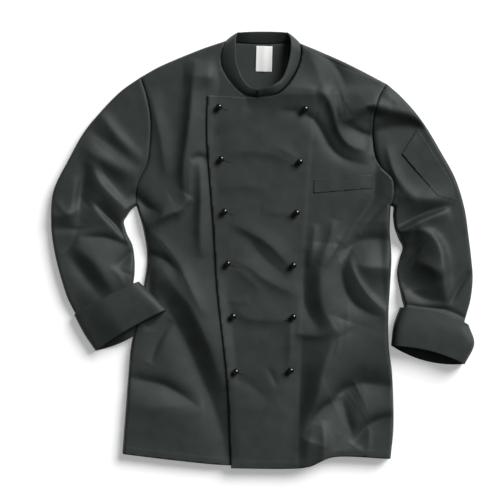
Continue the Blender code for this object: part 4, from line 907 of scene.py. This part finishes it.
# ---- Buttonholes and stitching -------------------------------------------------------------
# Worked slits beside the buttons, and rows of lockstitch in thread of the cloth's own colour
# along the hems, the lap's edges, the armholes, the left shoulder and the chest pocket.
SLIT_FROM = 0.002           # from the button's middle to the slit's near end
SLIT_LENGTH = 0.017
SLIT_BELOW = 0.002
SLIT_SLOPES = (-0.20, 0.35)
SLIT_EDGE = 0.0008          # from the slit's middle to the middle of its worked edge
THREAD = 0.00065            # radius of the worked edge
BAR = 0.0012                # length of one of its stitches
BAR_GAP = 0.0001
ON_CLOTH = 0.0002
ON_WELT = 0.0009
STITCH = 0.0026
STITCH_GAP = 0.0010
STITCH_RADIUS = 0.00026
TURNS = 6                   # facets round a thread


def thread_material():
    mat, shader = new_material("charcoal_thread", {"Roughness": 0.5})
    place = add_node(mat, "TexCoord", {}).outputs["Object"]
    twist = add_node(mat, "TexNoise", {"Scale": 900, "Vector": place}).outputs["Fac"]
    tones = {"A": (0.014, 0.018, 0.017, 1), "B": (0.040, 0.047, 0.045, 1), "Factor": twist}
    tone = add_node(mat, "Mix", tones, data_type="RGBA")
    set_inputs(mat, shader, {"Base Color": tone.outputs["Result"]})
    return mat


thread = thread_material()


def raised(line, level, rise=ON_CLOTH):
    """A plan line with the cloth's level added to each point."""
    return np.column_stack([line, level(line) + rise])


def stitched(name, paths, radius, length=STITCH, gap=STITCH_GAP):
    """Short round stitches along each path, all in one mesh."""
    verts, faces = [], []
    angles = 2 * np.pi * np.arange(TURNS) / TURNS
    rings = [(0.0, 0.35), (0.15, 0.9), (0.5, 1.1), (0.85, 0.9), (1.0, 0.35)]
    for path in paths:
        total = np.linalg.norm(np.diff(path, axis=0), axis=1).sum()
        count = max(1, int(total / (length + gap)))
        ends = smooth_line(path, 2 * count)
        for start, end in zip(ends[0::2], ends[1::2]):
            along = Vector(end - start)
            start = Vector(start)
            stretch = length / max(along.length, 1e-9)
            aside = along.cross(Vector((0, 0, 1))).normalized()
            up = aside.cross(along).normalized()
            first = len(verts)
            for part, size in rings:
                centre = start + along * part * stretch
                for angle in angles:
                    verts.append(centre + radius * size * (math.cos(angle) * aside + math.sin(angle) * up))
            for ring in range(len(rings) - 1):
                for turn in range(TURNS):
                    here, other = first + ring * TURNS + turn, first + ring * TURNS + (turn + 1) % TURNS
                    faces.append((here, other, other + TURNS, here + TURNS))
            faces.append([first + turn for turn in reversed(range(TURNS))])
            faces.append([first + (len(rings) - 1) * TURNS + turn for turn in range(TURNS)])
    mesh = bpy.data.meshes.new(name)
    mesh.from_pydata(verts, [], faces)
    return piece(mesh, thread, "charcoal_twill")


slits = []
for row in BUTTONS:
    columns = ((row.left_x, row.left_y, 1, SLIT_SLOPES[0]), (row.right_x, row.right_y, -1, SLIT_SLOPES[1]))
    for x, y, way, slope in columns:
        run = way * np.linspace(SLIT_FROM, SLIT_LENGTH, 9)
        for side in (-SLIT_EDGE, SLIT_EDGE):
            line = np.column_stack([x + run, y - SLIT_BELOW + slope * run + side])
            slits.append(raised(line, lapped_level, 0.0001))
stitched("buttonhole_edges", slits, THREAD, length=BAR, gap=BAR_GAP)


def beside(line, offset):
    """A line parallel to another in plan, on its left for a positive offset."""
    run = np.gradient(line, axis=0)
    run /= np.linalg.norm(run, axis=1)[:, None]
    return line + offset * np.column_stack([-run[:, 1], run[:, 0]])


body_seams = [
    raised(beside(smooth_line(RIGHT_FRONT_HEM[:3], 80), HEM_WIDTH)[2:-2], upper_level),
    raised(beside(smooth_line(LEFT_FRONT_HEM, 120), HEM_WIDTH)[3:-2], lapped_level),
    raised(beside(smooth_line(LAP_EDGE, 140), -0.004)[2:-1], lapped_level),
    raised(beside(smooth_line([LAP_TOP, CENTRE], 20), -0.004)[1:-1], lapped_level),
    raised(beside(armholes[0], -0.005)[2:-3], upper_level),
    raised(beside(armholes[1], 0.005)[2:-3], lapped_level),
    raised(beside(shoulder_seams[0], -0.004)[1:-1], lapped_level),
]
stitched("body_stitching", body_seams, STITCH_RADIUS)
welt_seams = []
for start, end in (((0.096, 0.1045), (0.201, 0.1135)), ((0.097, 0.1265), (0.201, 0.1355))):
    welt_seams.append(raised(smooth_line([start, end], 30), lapped_level, ON_WELT))
stitched("welt_stitching", welt_seams, STITCH_RADIUS)


# ---- Table, light and camera ---------------------------------------------------------------
# A pale table top far larger than the jacket, with a faint glow of its own that is painted light
# lifting its shadows, one large soft light from the upper right with a weak one above, a white
# backdrop that only the camera sees, and a camera straight above.
def table_top():
    bm = bmesh.new()
    bmesh.ops.create_grid(bm, x_segments=1, y_segments=1, size=15)
    mesh = bpy.data.meshes.new("table")
    bm.to_mesh(mesh)
    bm.free()
    # The table's emission is painted light: the table glows by itself, which lifts the shadows the jacket
    # throws on it towards white and faintly lights the jacket from below.
    pale_and_glowing = {"Base Color": (0.9, 0.9, 0.9, 1), "Roughness": 0.9, "Specular IOR Level": 0.0,
            "Emission Color": (1, 1, 1, 1), "Emission Strength": 0.32}
    mesh.materials.append(new_material("pale_glowing_table", pale_and_glowing)[0])
    obj = bpy.data.objects.new("table", mesh)
    bpy.context.scene.collection.objects.link(obj)


table_top()


def light(name, kind, towards, energy, **settings):
    """A lamp that shines at the jacket from the given place."""
    lamp = bpy.data.lights.new(name, kind)
    lamp.energy = energy
    for key, value in settings.items():
        setattr(lamp, key, value)
    obj = bpy.data.objects.new(name, lamp)
    obj.location = Vector(towards)
    obj.rotation_euler = (-Vector(towards)).to_track_quat("-Z", "Y").to_euler()
    bpy.context.scene.collection.objects.link(obj)


light("key", "SUN", (2.0, 2.1, 2.05), 4.3, angle=math.radians(36))
light("fill", "AREA", (0.6, 0.4, 3.4), 4, size=1.6)
world = bpy.data.worlds.new("studio")
world.use_nodes = True
sky = world.node_tree.nodes["Background"]
set_inputs(world, sky, {"Color": (0.85, 0.88, 0.92, 1), "Strength": 0.07})
backdrop = add_node(world, "Background", {"Color": (1, 1, 1, 1)})
seen = add_node(world, "LightPath", {}).outputs["Is Camera Ray"]
lights = {"Fac": seen, 1: sky.outputs["Background"], 2: backdrop.outputs["Background"]}
choose = add_node(world, "MixShader", lights)
set_inputs(world, world.node_tree.nodes["World Output"], {"Surface": choose.outputs["Shader"]})
bpy.context.scene.world = world
bpy.context.scene.view_settings.view_transform = "Standard"

camera_data = bpy.data.cameras.new("camera")
camera_data.lens = 123.9
camera = bpy.data.objects.new("camera", camera_data)
camera.location = (-0.0228, -0.0007, 3.2)
bpy.context.scene.collection.objects.link(camera)
bpy.context.scene.camera = camera
